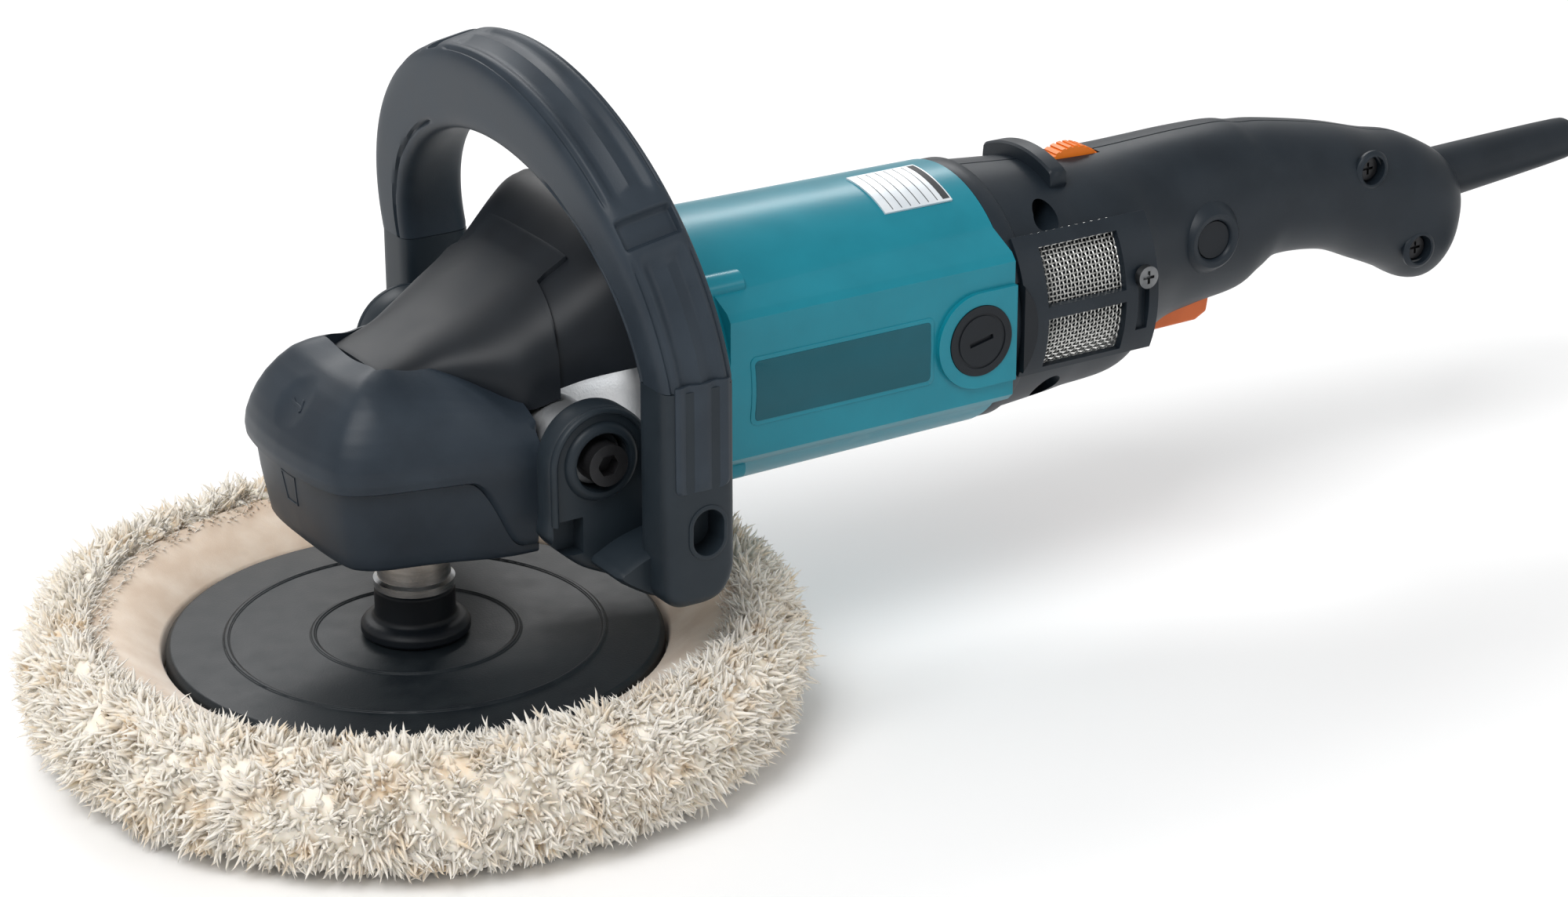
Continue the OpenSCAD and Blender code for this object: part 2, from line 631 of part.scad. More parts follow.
// Tapered barrel with its rear wall and bearing hub, along the local Z axis
module cylinder_between(from, to, r0, r1) {
    rotate_extrude($fn = 128) polygon([
        [0, from], [r0, from], [r1, to], [14, to], [14, 207.5], [0, 207.5]
    ]);
}

module housing_screws() color("dimgray") {
    for (a = [45:90:315]) {
        rod_x(flange_x - 4, motor_z + screw_ring_r * sin(a), 4, 4, screw_ring_r * cos(a));
        rod_x(flange_x - 0.1, motor_z + screw_ring_r * sin(a), 2, 32, screw_ring_r * cos(a));
    }
}

module sector_x(x, length, ri, ro, from, span) along_x(x, motor_z)
    rotate([0, 0, from]) rotate_extrude(angle = span, $fn = 96) translate([ri, 0]) square([ro - ri, length]);

module stator_core() color("slategray") difference() {
    along_x(core_x - 2, motor_z) ring_z(0, 25.3, 39.9, core_len + 4);
    for (s = [50, 230])
        sector_x(core_x - 3, core_len + 6, 20, 33.5, s, 80);
}

module field_coils() color("peru") for (s = [0, 180]) difference() {
    sector_x(core_x - 4.4, core_len + 12, 26.4, 33.2, s - 84, 168);
    sector_x(core_x - 2.2, core_len + 4.4, 25, 35, s - 52, 104);
}

module fan_baffle() color("dimgray") along_x(103.4, motor_z) ring_z(0, 33.6, 40.1, 2.2);

module brush_holders() color("goldenrod") both_sides() difference() {
    translate([brush_x - 6, 14, brush_z - 7.5]) cube([12, 26.5, 15]);
    translate([brush_x - 3.3, 10, brush_z - 5.3]) cube([6.6, 40, 10.6]);
}

module carbon_brushes() color([0.25, 0.25, 0.27]) both_sides()
    translate([brush_x - 3.2, 12.2, brush_z - 5.2]) cube([6.4, 16, 10.4]);

module brush_springs() color("silver") both_sides()
    translate([brush_x, 28.3, brush_z]) rotate([-90, 0, 0]) spring(2.4, 0.35, 12.2, 6);

module brush_caps() color([0.10, 0.11, 0.12]) both_sides() difference() {
    rod_y(brush_x, brush_z, 11.7, 40.6, 45.6);
    translate([brush_x, 44.6, brush_z]) rotate([0, -12, 0]) translate([-4.5, 0, -0.8]) cube([9, 5, 1.6]);
    translate([0, 45.2, 0]) difference() {
        rod_y(brush_x, brush_z, 9.2, 0, 3);
        rod_y(brush_x, brush_z, 8.4, -1, 4);
    }
}

module rating_plate() color([0.85, 0.88, 0.90])
    sector_x(159, 26, motor_r - 0.65, motor_r, 178, 31);

// ---- rear handle ------------------------------------------------------------------------

// x, centre height, half height, half width, tilt, squareness
grip = [
    [motor_rear + 0.2, 102, 42.6, 42.2, 0, 2], [222, 101.6, 40.4, 39.6, 0, 2], [232, 101.5, 39.4, 38.4, 0, 2],
    [250, 102, 38, 37, 0, 2.1], [262, 105, 35, 31, 0, 2.2], [276, 108.6, 31.8, 26.5, 0, 2.3],
    [292, 110.2, 30.5, 24.4, 0, 2.4], [309, 111, 29.4, 23, 0, 2.4], [317, 112.4, 26.4, 22.2, 0, 2.4],
    [328, 114, 23.4, 21.4, 3, 2.4], [352, 110.4, 22, 20.6, 7, 2.4], [371, 104, 23, 20.4, 8, 2.4],
    [384, 99.6, 24.4, 20.4, 8, 2.4], [394, 94.6, 24.6, 19.8, 9, 2.4], [401.5, 92, 22.4, 18, 9, 2.4],
    [408, 91, 16.4, 14, 9, 2.4], [handle_end, 91, 9, 8, 0, 2.2]
];

module grip_outside() loft([for (g = grip) x_ring(g[0], g[1], g[2], g[3], g[4], g[5])]);

module grip_inside() loft([
    for (i = [0:14])
        let (g = grip[i])
        x_ring(g[0] - (i == 0 ? 1 : i > 12 ? 2 : 0), g[1], g[2] - wall, g[3] - wall, g[4], g[5])
]);

module half_space(side) translate([180, side > 0 ? 0.03 : -60.03, 40]) cube([260, 60, 120]);

module handle_half(side) difference() {
    union() {
        intersection() {
            difference() {
                union() {
                    grip_outside();
                    translate([225, -13, 134]) cube([6.5, 26, 11.6]);
                }
                grip_inside();
            }
            half_space(side);
        }
        // screw bosses meet at the seam; pivots of the trigger and the dial, and the cord clamp's shelf
        intersection() {
            on_side(side) {
                for (p = handle_screw_spots)
                    rod_y(p[0], p[1], 5.5, 0.03, 45);
                rod_y(pivot_x, pivot_z, 4, 9.6, 45);
                rod_y(dial_x, dial_z, 4, 4.6, 45);
                translate([375, 13.2, 96]) cube([12, 20, 5]);
            }
            grip_outside();
        }
    }
    for (p = handle_screw_spots) {
        rod_y(p[0], p[1], 2.05, -30, 12);
        rod_y(p[0], p[1], 4.4, -60, -14);
    }
    on_side(side) {
        rod_y(pivot_x, pivot_z, 1.62, 0, 14);
        rod_y(dial_x, dial_z, 1.65, 0, 10);
        rod_y(245, 110.7, 1.65, 30, 45);
        // air intake behind the dust cover
        translate([205, 20, 89]) cube([37, 40, 33]);
    }
    // dial's slot, trigger's slot, cord guard's mouth, lock button's bore
    rod_y(dial_x, dial_z, dial_r + 0.6, -4.1, 4.1);
    translate([252.8, -9.2, 50]) cube([51.5, 18.4, 46]);
    translate(guard_start) rotate([0, 90 - guard_tilt, 0]) cylinder(h = 40, r = 10.2, $fn = 64);
    rod_y(button_x, button_z, 6.6, -40, -15);
}

module on_side(side) {
    if (side > 0) children();
    else mirror([0, 1, 0]) children();
}

module handle_left() color([0.12, 0.14, 0.17]) {
    handle_half(-1);
    difference() {
        rod_y(button_x, button_z, 10.7, -26, -22);
        rod_y(button_x, button_z, 6.6, -40, -15);
    }
}

module handle_right() color([0.12, 0.14, 0.17]) handle_half(1);

module handle_screws() color("dimgray") for (p = handle_screw_spots) {
    rod_y(p[0], p[1], 2, -15, 11);
    difference() {
        rod_y(p[0], p[1], 4, -17, -14.03);
        translate([p[0] - 2.2, -17.5, p[1] - 0.45]) cube([4.4, 1.7, 0.9]);
        translate([p[0] - 0.45, -17.5, p[1] - 2.2]) cube([0.9, 1.7, 4.4]);
    }
}

// Dust cover over the intake: a curved frame with two windows, a slot and a stop for the boss
module dust_cover() difference() {
    along_x(0, motor_z) rotate([0, 0, 66]) rotate_extrude(angle = 62, $fn = 128) polygon([
        [42.1, 198], [44.6, 198], [44.6, 251], [38, 251], [38, 244], [41.85, 243.5], [41.85, 204], [42.1, 203.5]
    ]);
    rod_y(brush_x, brush_z, 19, 20, 60);
    // upper and lower windows
    translate([207, 20, 107]) cube([31, 40, 18.5]);
    translate([207, 20, 86]) cube([31, 40, 17]);
    // slot for the fixing screw
    translate([242.8, 42, 92]) cube([4.4, 10, 19]);
    rod_y(245, 110.7, 2.6, 30, 60);
}

module dust_covers() color([0.12, 0.14, 0.17]) both_sides() dust_cover();

module dust_screens() color("lightgray") both_sides()
    sector_x(204.4, 38.6, 41.2, 41.75, 70, 54);

module dust_cover_screws() color("silver") both_sides() difference() {
    union() {
        rod_y(245, 110.7, 3.8, 44.3, 46.8);
        rod_y(245, 110.7, 1.6, 31, 44.5);
    }
    translate([242.8, 45.6, 110.2]) cube([4.4, 3, 1]);
    translate([244.5, 45.6, 108.5]) cube([1, 3, 4.4]);
}

module speed_dial() color([0.93, 0.52, 0.18]) difference() {
    union() {
        rod_y(dial_x, dial_z, dial_r, -3.4, 3.4);
        rod_y(dial_x, dial_z, 1.6, -9, 9);
    }
    for (i = [0:35])
        translate([dial_x, 0, dial_z]) rotate([0, 10 * i, 0]) translate([dial_r - 0.5, -4, -0.5]) cube([2, 8, 1]);
}

module speed_controller() color([0.20, 0.26, 0.24]) translate([234, -15, 80]) cube([20, 30, 30]);

module switch_body() color([0.16, 0.16, 0.18]) {
    translate([264, -12, 97]) cube([40, 24, 22]);
    translate([276, -3, 93.6]) cube([8, 6, 3.5]);
}

module trigger() color([0.80, 0.42, 0.22]) difference() {
    translate([0, 8.6, 0]) rotate([90, 0, 0]) linear_extrude(height = 17.2) polygon([
        [254.2, 91], [254.2, 79], [256.6, 74.6], [260, 73.6], [296, 74], [300.4, 76.2], [302, 86],
        [296, 87.4], [270, 88.6], [262, 94], [256, 94]
    ]);
    rod_y(pivot_x, pivot_z, 1.65, -12, 12);
}

module trigger_pin() color("silver") rod_y(pivot_x, pivot_z, 1.6, -13.8, 13.8);

module trigger_spring() color("silver") translate([293, 0, 88]) spring(3, 0.5, 8.8, 5);

module lock_button() color([0.08, 0.09, 0.10]) {
    rod_y(button_x, button_z, 6.4, -26.4, -21);
    rod_y(button_x, button_z, 2.4, -21.1, -16);
}

module lock_spring() color("silver") translate([button_x, -20.9, button_z]) rotate([-90, 0, 0]) spring(3.6, 0.4, 8.8, 5);

module cord_clamp() color([0.15, 0.15, 0.16]) difference() {
    translate([376, -13, 96.5]) cube([10, 26, 13.5]);
    translate(guard_start) rotate([0, 90 - guard_tilt, 0]) translate([0, 0, -30]) cylinder(h = 40, r = cord_d / 2 + 0.03, $fn = 64);
}

module cord_guard() color([0.10, 0.11, 0.12]) translate(guard_start) rotate([0, 90 - guard_tilt, 0]) difference() {
    union() {
        cylinder(h = 5, r = 10.1, $fn = 64);
        cylinder(h = guard_len, r1 = 10, r2 = 7.2, $fn = 64);
    }
    translate([0, 0, -1]) cylinder(h = guard_len + 2, r = cord_d / 2 + 0.03, $fn = 64);
}

// ---- cord ----------------------------------------------------------------------------------

module power_cord() color([0.10, 0.11, 0.12]) sweep(cord_route, cord_d / 2, 10);

module cord_coil() color([0.10, 0.11, 0.12]) translate([coil_center[0], coil_center[1], 0])
    ring_z(0, coil_in, coil_out, 2 * cord_d);

module plug() color([0.10, 0.11, 0.12]) translate([plug_x, plug_y, plug_z]) rotate([0, -90, 0]) {
    cylinder(h = 31, r1 = 4.6, r2 = 6.5, $fn = 48);
    translate([-8, -17.5, 30]) cube([16, 35, 27]);
    for (s = [-1, 1])
        translate([0, 9.5 * s, 56]) cylinder(h = 20, r = 2.4, $fn = 32);
}

module placed() translate([spindle_x, 0, 0]) children();

placed() wool_pad();
placed() pad_hide();
placed() backing_disc();
placed() pad_lock_nut();
placed() pad_sleeve();
placed() spindle();
placed() bevel_gear();
placed() spindle_inner_rings();
placed() intermediate_shaft();
placed() bevel_pinion();
placed() intermediate_gear();
placed() intermediate_inner_ring();
placed() armature_shaft();
placed() armature_core();
placed() armature_windings();
placed() commutator();
placed() cooling_fan();
placed() armature_inner_rings();
placed() bearing_outer_rings();
placed() bearing_balls();
placed() gear_housing();
placed() bearing_box();
placed() bearing_retainer();
placed() head_boot();
placed() top_cover();
placed() loop_frame();
placed() loop_grip();
placed() loop_bolts();
placed() loop_washers();
placed() shaft_lock_pin();
placed() shaft_lock_spring();
placed() motor_housing();
placed() housing_screws();
placed() stator_core();
placed() field_coils();
placed() fan_baffle();
placed() brush_holders();
placed() carbon_brushes();
placed() brush_springs();
placed() brush_caps();
placed() rating_plate();
placed() handle_left();
placed() handle_right();
placed() handle_screws();
placed() dust_covers();
placed() dust_screens();
placed() dust_cover_screws();
placed() speed_dial();
placed() speed_controller();
placed() switch_body();
placed() trigger();
placed() trigger_pin();
placed() trigger_spring();
placed() lock_button();
placed() lock_spring();
placed() cord_clamp();
placed() cord_guard();
placed() power_cord();
placed() cord_coil();
placed() plug();
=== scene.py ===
# %% [markdown]
# # A rotary polisher, piece by piece
# A rotary polisher spins a soft wool pad under a right-angle gear head. Behind the head is a
# long motor in a teal plastic housing, then a black handle with the trigger. A loop handle
# arches over the neck for the other hand. The gears, shafts and screws are already exact CAD
# solids. This lesson keeps those, and builds what makes the machine look real: the woolly
# pile, the rubber boot, the moulded skins, the woven screens and the cord.

# %% Load the frame
import json
import math

import bmesh
import bpy
import numpy as np
from mathutils import Matrix, Vector, noise


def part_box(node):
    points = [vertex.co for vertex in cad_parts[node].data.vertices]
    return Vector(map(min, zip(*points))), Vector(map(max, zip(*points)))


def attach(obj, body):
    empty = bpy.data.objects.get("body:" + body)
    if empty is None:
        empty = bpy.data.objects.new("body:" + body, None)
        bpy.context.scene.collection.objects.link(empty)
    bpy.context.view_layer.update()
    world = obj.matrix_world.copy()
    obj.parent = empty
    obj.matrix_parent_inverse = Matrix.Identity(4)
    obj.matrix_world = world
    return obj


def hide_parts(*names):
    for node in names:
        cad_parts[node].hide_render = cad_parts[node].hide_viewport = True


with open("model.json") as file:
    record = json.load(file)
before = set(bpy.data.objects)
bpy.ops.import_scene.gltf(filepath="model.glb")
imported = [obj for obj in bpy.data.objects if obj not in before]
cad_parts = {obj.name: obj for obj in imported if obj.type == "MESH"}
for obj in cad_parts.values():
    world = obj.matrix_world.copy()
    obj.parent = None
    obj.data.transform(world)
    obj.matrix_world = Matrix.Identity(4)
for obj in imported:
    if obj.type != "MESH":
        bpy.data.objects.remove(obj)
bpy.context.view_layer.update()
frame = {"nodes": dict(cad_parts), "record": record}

# %% [markdown]
# Everything on this machine is set out from two lines: the spindle, which stands upright, and
# the motor axis, which lies along X. So the lengths below are in millimetres from the spindle,
# and one small function turns them into scene metres. Where the spindle stands is read from
# the CAD itself, and not typed in.

# %% Measure from the spindle
spindle_low, spindle_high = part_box("spindle")
SPINDLE_X = (spindle_low[0] + spindle_high[0]) / 2
MOTOR_Z = 102
print("the spindle stands at x =", round(1000 * SPINDLE_X, 1), "mm")


def at(x, y, z):
    """A place given in millimetres from the spindle, as a point in the scene."""
    return Vector((x / 1000 + SPINDLE_X, y / 1000, z / 1000))


# %% [markdown]
# The camera comes first. A long lens from about a metre away keeps the round pad round and the body straight. The
# camera looks along one direction and has an up direction, and a matrix made of those turns it.

# %% Camera
right = Vector((0.8434, -0.5373, 0.0)).normalized()
forward = Vector((0.4977, 0.7812, -0.3770)).normalized()
up = right.cross(forward).normalized()
camera_data = bpy.data.cameras.new("camera")
camera_data.lens = 90
camera_data.sensor_width = 36
camera = bpy.data.objects.new("camera", camera_data)
turn = Matrix((right, up, -forward)).transposed().to_4x4()
camera.matrix_world = Matrix.Translation(at(-496.33, -990.85, 537.25)) @ turn
bpy.context.scene.collection.objects.link(camera)
bpy.context.scene.camera = camera
print("camera at", [round(c, 3) for c in camera.matrix_world.translation])

# %% [markdown]
# Moulded plastic, rubber, wool and metal differ less in colour than in how they break up the
# light. One function makes the surface for all of them: a colour that drifts a little between
# two shades, a gloss that drifts too, and a fine grain that dents the surface. The grain's
# size is given in millimetres, which is how a moulder would ask for it.

# %% A recipe for surfaces
def surface(name, light, dark, gloss=(0.4, 0.55), metal=0.0, drift=18.0, grain=0.5, depth=0.15,
            sheen=0.0, coat=0.0, stretch=(1, 1, 1), fuzz=0.0, contrast=(0.35, 0.65)):
    mat = bpy.data.materials.new(name)
    mat.use_nodes = True
    nodes, links = mat.node_tree.nodes, mat.node_tree.links
    shader = nodes["Principled BSDF"]
    shader.inputs["Metallic"].default_value = metal
    shader.inputs["Specular IOR Level"].default_value = 0.5 if metal > 0.3 else 0.25
    shader.inputs["Sheen Weight"].default_value = sheen
    shader.inputs["Sheen Roughness"].default_value = 0.45
    shader.inputs["Coat Weight"].default_value = coat
    shader.inputs["Coat Roughness"].default_value = 0.2
    shader.inputs["Subsurface Weight"].default_value = fuzz
    shader.inputs["Subsurface Radius"].default_value = (0.012, 0.009, 0.006)
    shader.inputs["Subsurface Scale"].default_value = 0.3
    place = nodes.new("ShaderNodeTexCoord")
    scale = nodes.new("ShaderNodeMapping")
    scale.inputs["Scale"].default_value = stretch
    links.new(place.outputs["Object"], scale.inputs["Vector"])
    cloud = nodes.new("ShaderNodeTexNoise")
    cloud.inputs["Scale"].default_value = 1000.0 / drift
    cloud.inputs["Detail"].default_value = 5.0
    links.new(scale.outputs["Vector"], cloud.inputs["Vector"])
    ramp = nodes.new("ShaderNodeValToRGB")
    ramp.color_ramp.elements[0].position = contrast[0]
    ramp.color_ramp.elements[1].position = contrast[1]
    ramp.color_ramp.elements[0].color = (*dark, 1)
    ramp.color_ramp.elements[1].color = (*light, 1)
    links.new(cloud.outputs["Fac"], ramp.inputs["Fac"])
    links.new(ramp.outputs["Color"], shader.inputs["Base Color"])
    fine = nodes.new("ShaderNodeTexNoise")
    fine.inputs["Scale"].default_value = 1000.0 / grain
    fine.inputs["Detail"].default_value = 3.0
    links.new(scale.outputs["Vector"], fine.inputs["Vector"])
    rough = nodes.new("ShaderNodeMapRange")
    rough.inputs["To Min"].default_value = gloss[0]
    rough.inputs["To Max"].default_value = gloss[1]
    links.new(cloud.outputs["Fac"], rough.inputs["Value"])
    links.new(rough.outputs["Result"], shader.inputs["Roughness"])
    bump = nodes.new("ShaderNodeBump")
    bump.inputs["Strength"].default_value = depth
    bump.inputs["Distance"].default_value = grain / 4000
    links.new(fine.outputs["Fac"], bump.inputs["Height"])
    links.new(bump.outputs["Normal"], shader.inputs["Normal"])
    return mat


# %% [markdown]
# Now the finishes themselves. The head boot and the grips are a soft blue-black rubber, the
# handle is the same shade in hard plastic with a finer grain, and the motor housing is a
# teal plastic with a low shine. The casting is bright aluminium with a sandy skin.

# %% Finishes of the machine
FINISHES = {
    "boot_rubber": surface(
        "boot_rubber", (0.021, 0.03, 0.041), (0.016, 0.023, 0.032), (0.36, 0.5), grain=0.45, depth=0.22
    ),
    "grip_rubber": surface(
        "grip_rubber", (0.024, 0.034, 0.046), (0.018, 0.026, 0.036), (0.4, 0.54), grain=0.5, depth=0.22
    ),
    "loop_plastic": surface(
        "loop_plastic", (0.015, 0.022, 0.029), (0.011, 0.017, 0.023), (0.38, 0.5), grain=0.4, depth=0.18
    ),
    "handle_plastic": surface(
        "handle_plastic", (0.013, 0.019, 0.026), (0.009, 0.014, 0.02), (0.36, 0.48), grain=0.35, depth=0.2
    ),
    "black_plastic": surface(
        "black_plastic", (0.007, 0.01, 0.014), (0.005, 0.007, 0.01), (0.4, 0.52), grain=0.4, depth=0.12
    ),
    "inner_plastic": surface("inner_plastic", (0.05, 0.052, 0.055), (0.035, 0.036, 0.04), (0.45, 0.6), grain=0.4),
    "teal_plastic": surface(
        "teal_plastic", (0.004, 0.195, 0.26), (0.003, 0.175, 0.235), (0.3, 0.4), grain=0.3, depth=0.07, coat=0.15
    ),
    "dial_plastic": surface("dial_plastic", (0.8, 0.2, 0.02), (0.7, 0.16, 0.014), (0.3, 0.42), grain=0.3, depth=0.1),
    "trigger_plastic": surface(
        "trigger_plastic", (0.58, 0.13, 0.035), (0.5, 0.11, 0.028), (0.34, 0.46), grain=0.35, depth=0.12
    ),
    "disc_rubber": surface(
        "disc_rubber", (0.012, 0.016, 0.019), (0.007, 0.01, 0.013), (0.34, 0.56), drift=9, grain=0.6, depth=0.3
    ),
    "cord_rubber": surface(
        "cord_rubber", (0.013, 0.018, 0.024), (0.009, 0.013, 0.018), (0.4, 0.55), grain=0.3, depth=0.15
    ),
    "wool": surface(
        "wool", (0.92, 0.86, 0.76), (0.80, 0.62, 0.42), (0.85, 0.95), drift=9, grain=0.35, depth=0.5, sheen=0.5,
        fuzz=0.25, contrast=(0.24, 0.5)
    ),
    "hide": surface(
        "hide", (0.80, 0.68, 0.56), (0.68, 0.54, 0.42), (0.75, 0.9), drift=14, grain=0.6, depth=0.5, sheen=0.3,
        fuzz=0.1
    ),
}
print(len(FINISHES), "plastic, rubber and soft finishes")

# %% Finishes of the metal parts
FINISHES.update({
    "cast_aluminium": surface(
        "cast_aluminium", (0.80, 0.81, 0.82), (0.62, 0.64, 0.66), (0.3, 0.5), 0.9, drift=12, grain=0.7, depth=0.35
    ),
    "bright_steel": surface(
        "bright_steel", (0.72, 0.73, 0.74), (0.58, 0.59, 0.6), (0.18, 0.3), 1.0, drift=6, grain=0.25,
        stretch=(1, 1, 9)
    ),
    "gear_steel": surface("gear_steel", (0.6, 0.6, 0.61), (0.45, 0.45, 0.46), (0.24, 0.38), 1.0, drift=8, grain=0.3),
    "bearing_steel": surface(
        "bearing_steel", (0.76, 0.77, 0.78), (0.66, 0.67, 0.68), (0.1, 0.2), 1.0, drift=10, grain=0.3, depth=0.05
    ),
    "core_steel": surface(
        "core_steel", (0.3, 0.32, 0.35), (0.2, 0.21, 0.24), (0.35, 0.5), 0.9, drift=4, grain=0.5, stretch=(8, 1, 1)
    ),
    "copper_wire": surface(
        "copper_wire", (0.75, 0.33, 0.14), (0.5, 0.17, 0.06), (0.25, 0.4), 0.9, drift=2, grain=0.8, depth=0.5,
        stretch=(1, 4, 4)
    ),
    "copper_bars": surface(
        "copper_bars", (0.8, 0.42, 0.22), (0.65, 0.3, 0.14), (0.2, 0.32), 1.0, drift=6, grain=0.3, stretch=(9, 1, 1)
    ),
    "black_steel": surface(
        "black_steel", (0.03, 0.03, 0.032), (0.02, 0.02, 0.022), (0.25, 0.4), 0.6, drift=6, grain=0.3
    ),
    "zinc_steel": surface(
        "zinc_steel", (0.2, 0.205, 0.21), (0.13, 0.135, 0.14), (0.25, 0.38), 1.0, drift=5, grain=0.3
    ),
    "spring_steel": surface(
        "spring_steel", (0.5, 0.51, 0.53), (0.38, 0.39, 0.41), (0.22, 0.34), 1.0, drift=3, grain=0.2
    ),
    "brass_sheet": surface(
        "brass_sheet", (0.8, 0.6, 0.26), (0.66, 0.47, 0.18), (0.24, 0.36), 1.0, drift=6, grain=0.3
    ),
    "carbon": surface(
        "carbon", (0.06, 0.06, 0.065), (0.03, 0.03, 0.034), (0.4, 0.6), 0.2, drift=2, grain=0.4, depth=0.3
    ),
    "plate_foil": surface(
        "plate_foil", (0.78, 0.82, 0.85), (0.7, 0.75, 0.79), (0.3, 0.4), 0.35, drift=8, grain=0.25, depth=0.05
    ),
    "screen_steel": surface(
        "screen_steel", (0.72, 0.72, 0.7), (0.52, 0.52, 0.5), (0.3, 0.42), 0.85, drift=1.5, grain=0.3
    ),
})
record_slots = {s["node"]: s["material_slot"] for s in frame["record"]["subparts"]}
for node, holder in frame["nodes"].items():
    holder.data.materials.clear()
    holder.data.materials.append(FINISHES[record_slots[node]])
print(len(frame["nodes"]), "CAD nodes dressed in", len(FINISHES), "finishes")

# %% [markdown]
# CAD solids meet at knife edges, and nothing moulded or cast is that sharp. The CAD mesh must
# stay as it is, so its edges are rounded by modifiers that sit on top: one welds the faces
# back together, one rounds the edges that are sharper than a given angle, and one lets the
# big flat faces decide how the light turns the corner.

# %% Round the CAD's edges
def soften(node, width, angle=32, steps=3):
    holder = frame["nodes"][node]
    weld = holder.modifiers.new("weld", "WELD")
    weld.merge_threshold = 1e-5
    bevel = holder.modifiers.new("round", "BEVEL")
    bevel.width = width / 1000
    bevel.segments = steps
    bevel.limit_method = "ANGLE"
    bevel.angle_limit = math.radians(angle)
    bevel.miter_outer = "MITER_ARC"
    shade = holder.modifiers.new("shade", "WEIGHTED_NORMAL")
    shade.weight = 80
    shade.keep_sharp = False


SOFTENED = {
    "motor_housing": 1.3, "brush_caps": 0.35, "trigger": 2.2, "speed_dial": 0.4, "loop_bolts": 0.5,
    "loop_washers": 0.3, "lock_button": 0.8, "shaft_lock_pin": 0.8, "dust_covers": 0.7,
    "dust_cover_screws": 0.3, "handle_screws": 0.3, "backing_disc": 0.5, "pad_sleeve": 0.4, "bearing_box": 0.6,
}
for node, width in SOFTENED.items():
    soften(node, width)
print("rounded the edges of", ", ".join(SOFTENED))

# %% [markdown]
# Most skins here are lofts: a row of closed rings with the same number of points, joined ring
# to ring by four-sided faces. One helper turns rings into a closed mesh, and another makes
# the scene object, gives it its finish, and says which moving body it belongs to.

# %% Helpers for making a piece
SIDES = ((-1, "near"), (1, "far"))


def bent(share, power):
    """A sine or cosine raised to a power with its sign kept, which squares up a circle."""
    return math.copysign(abs(share) ** power, share)


def table_at(table, place):
    """The value at a place, from a table of (place, value) rows."""
    return float(np.interp(place, [p[0] for p in table], [p[1] for p in table]))


def skin(rings, closed=True, capped=True):
    """Points and faces of a skin through rings of equal length."""
    count = len(rings[0])
    points = [tuple(p) for ring in rings for p in ring]
    faces = []
    for j in range(len(rings) - 1):
        for i in range(count if closed else count - 1):
            k = (i + 1) % count
            faces.append((j * count + i, j * count + k, (j + 1) * count + k, (j + 1) * count + i))
    if capped:
        faces.append(tuple(range(count - 1, -1, -1)))
        last = (len(rings) - 1) * count
        faces.append(tuple(range(last, last + count)))
    return points, faces


def make(name, points, faces, finish, body="housing", stands_for=(), sharp=38):
    """A scene object from points in millimetres from the spindle."""
    mesh = bpy.data.meshes.new(name)
    mesh.from_pydata([at(*p) for p in points], [], faces)
    mesh.validate()
    piece = bpy.data.objects.new(name, mesh)
    bpy.context.scene.collection.objects.link(piece)
    outward(piece)
    mesh.shade_smooth()
    mesh.set_sharp_from_angle(angle=math.radians(sharp))
    mesh.materials.append(FINISHES[finish])
    if body:
        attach(piece, body)
    if stands_for:
        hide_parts(*stands_for)
    return piece


def outward(thing):
    """Turn every face of a closed mesh to face outward."""
    work = bmesh.new()
    work.from_mesh(thing.data)
    bmesh.ops.recalc_face_normals(work, faces=work.faces)
    work.to_mesh(thing.data)
    work.free()


def carve(thing, *tools):
    """Cut tools out of a piece, and keep the result as plain mesh."""
    for tool in tools:
        step = thing.modifiers.new("carve", "BOOLEAN")
        step.operation = "DIFFERENCE"
        step.solver = "EXACT"
        step.object = tool
    view = bpy.context.evaluated_depsgraph_get()
    result = bpy.data.meshes.new_from_object(thing.evaluated_get(view))
    thing.modifiers.clear()
    thing.data = result
    result.shade_smooth()
    result.set_sharp_from_angle(angle=math.radians(38))
    for tool in tools:
        bpy.data.objects.remove(tool)
    return thing


def spun(profile, steps=96, axis="z", centre=(0, 0, 0)):
    """Rings of a shape turned about an axis: profile is (distance from axis, place along it)."""
    rings = []
    for i in range(steps):
        a = math.radians(360 * i / steps)
        ring = []
        for r, h in profile:
            u, v = r * math.cos(a), r * math.sin(a)
            spot = {"z": (u, v, h), "x": (h, u, v), "y": (u, h, v)}[axis]
            ring.append(tuple(c + s for c, s in zip(centre, spot)))
        rings.append(ring)
    return rings


def closed_faces(steps, count):
    """Faces of a skin whose rings join up again, last ring to first."""
    return [
        (
            j * count + i, j * count + (i + 1) % count, (j + 1) % steps * count + (i + 1) % count,
            (j + 1) % steps * count + i
        )
        for j in range(steps) for i in range(count)
    ]


def turned(name, profile, finish, axis="z", centre=(0, 0, 0), steps=96, **more):
    """A closed turned piece: profile runs round its whole section."""
    rings = spun(profile, steps, axis, centre)
    count = len(profile)
    points = [p for ring in rings for p in ring]
    faces = closed_faces(steps, count)
    return make(name, points, faces, finish, **more)


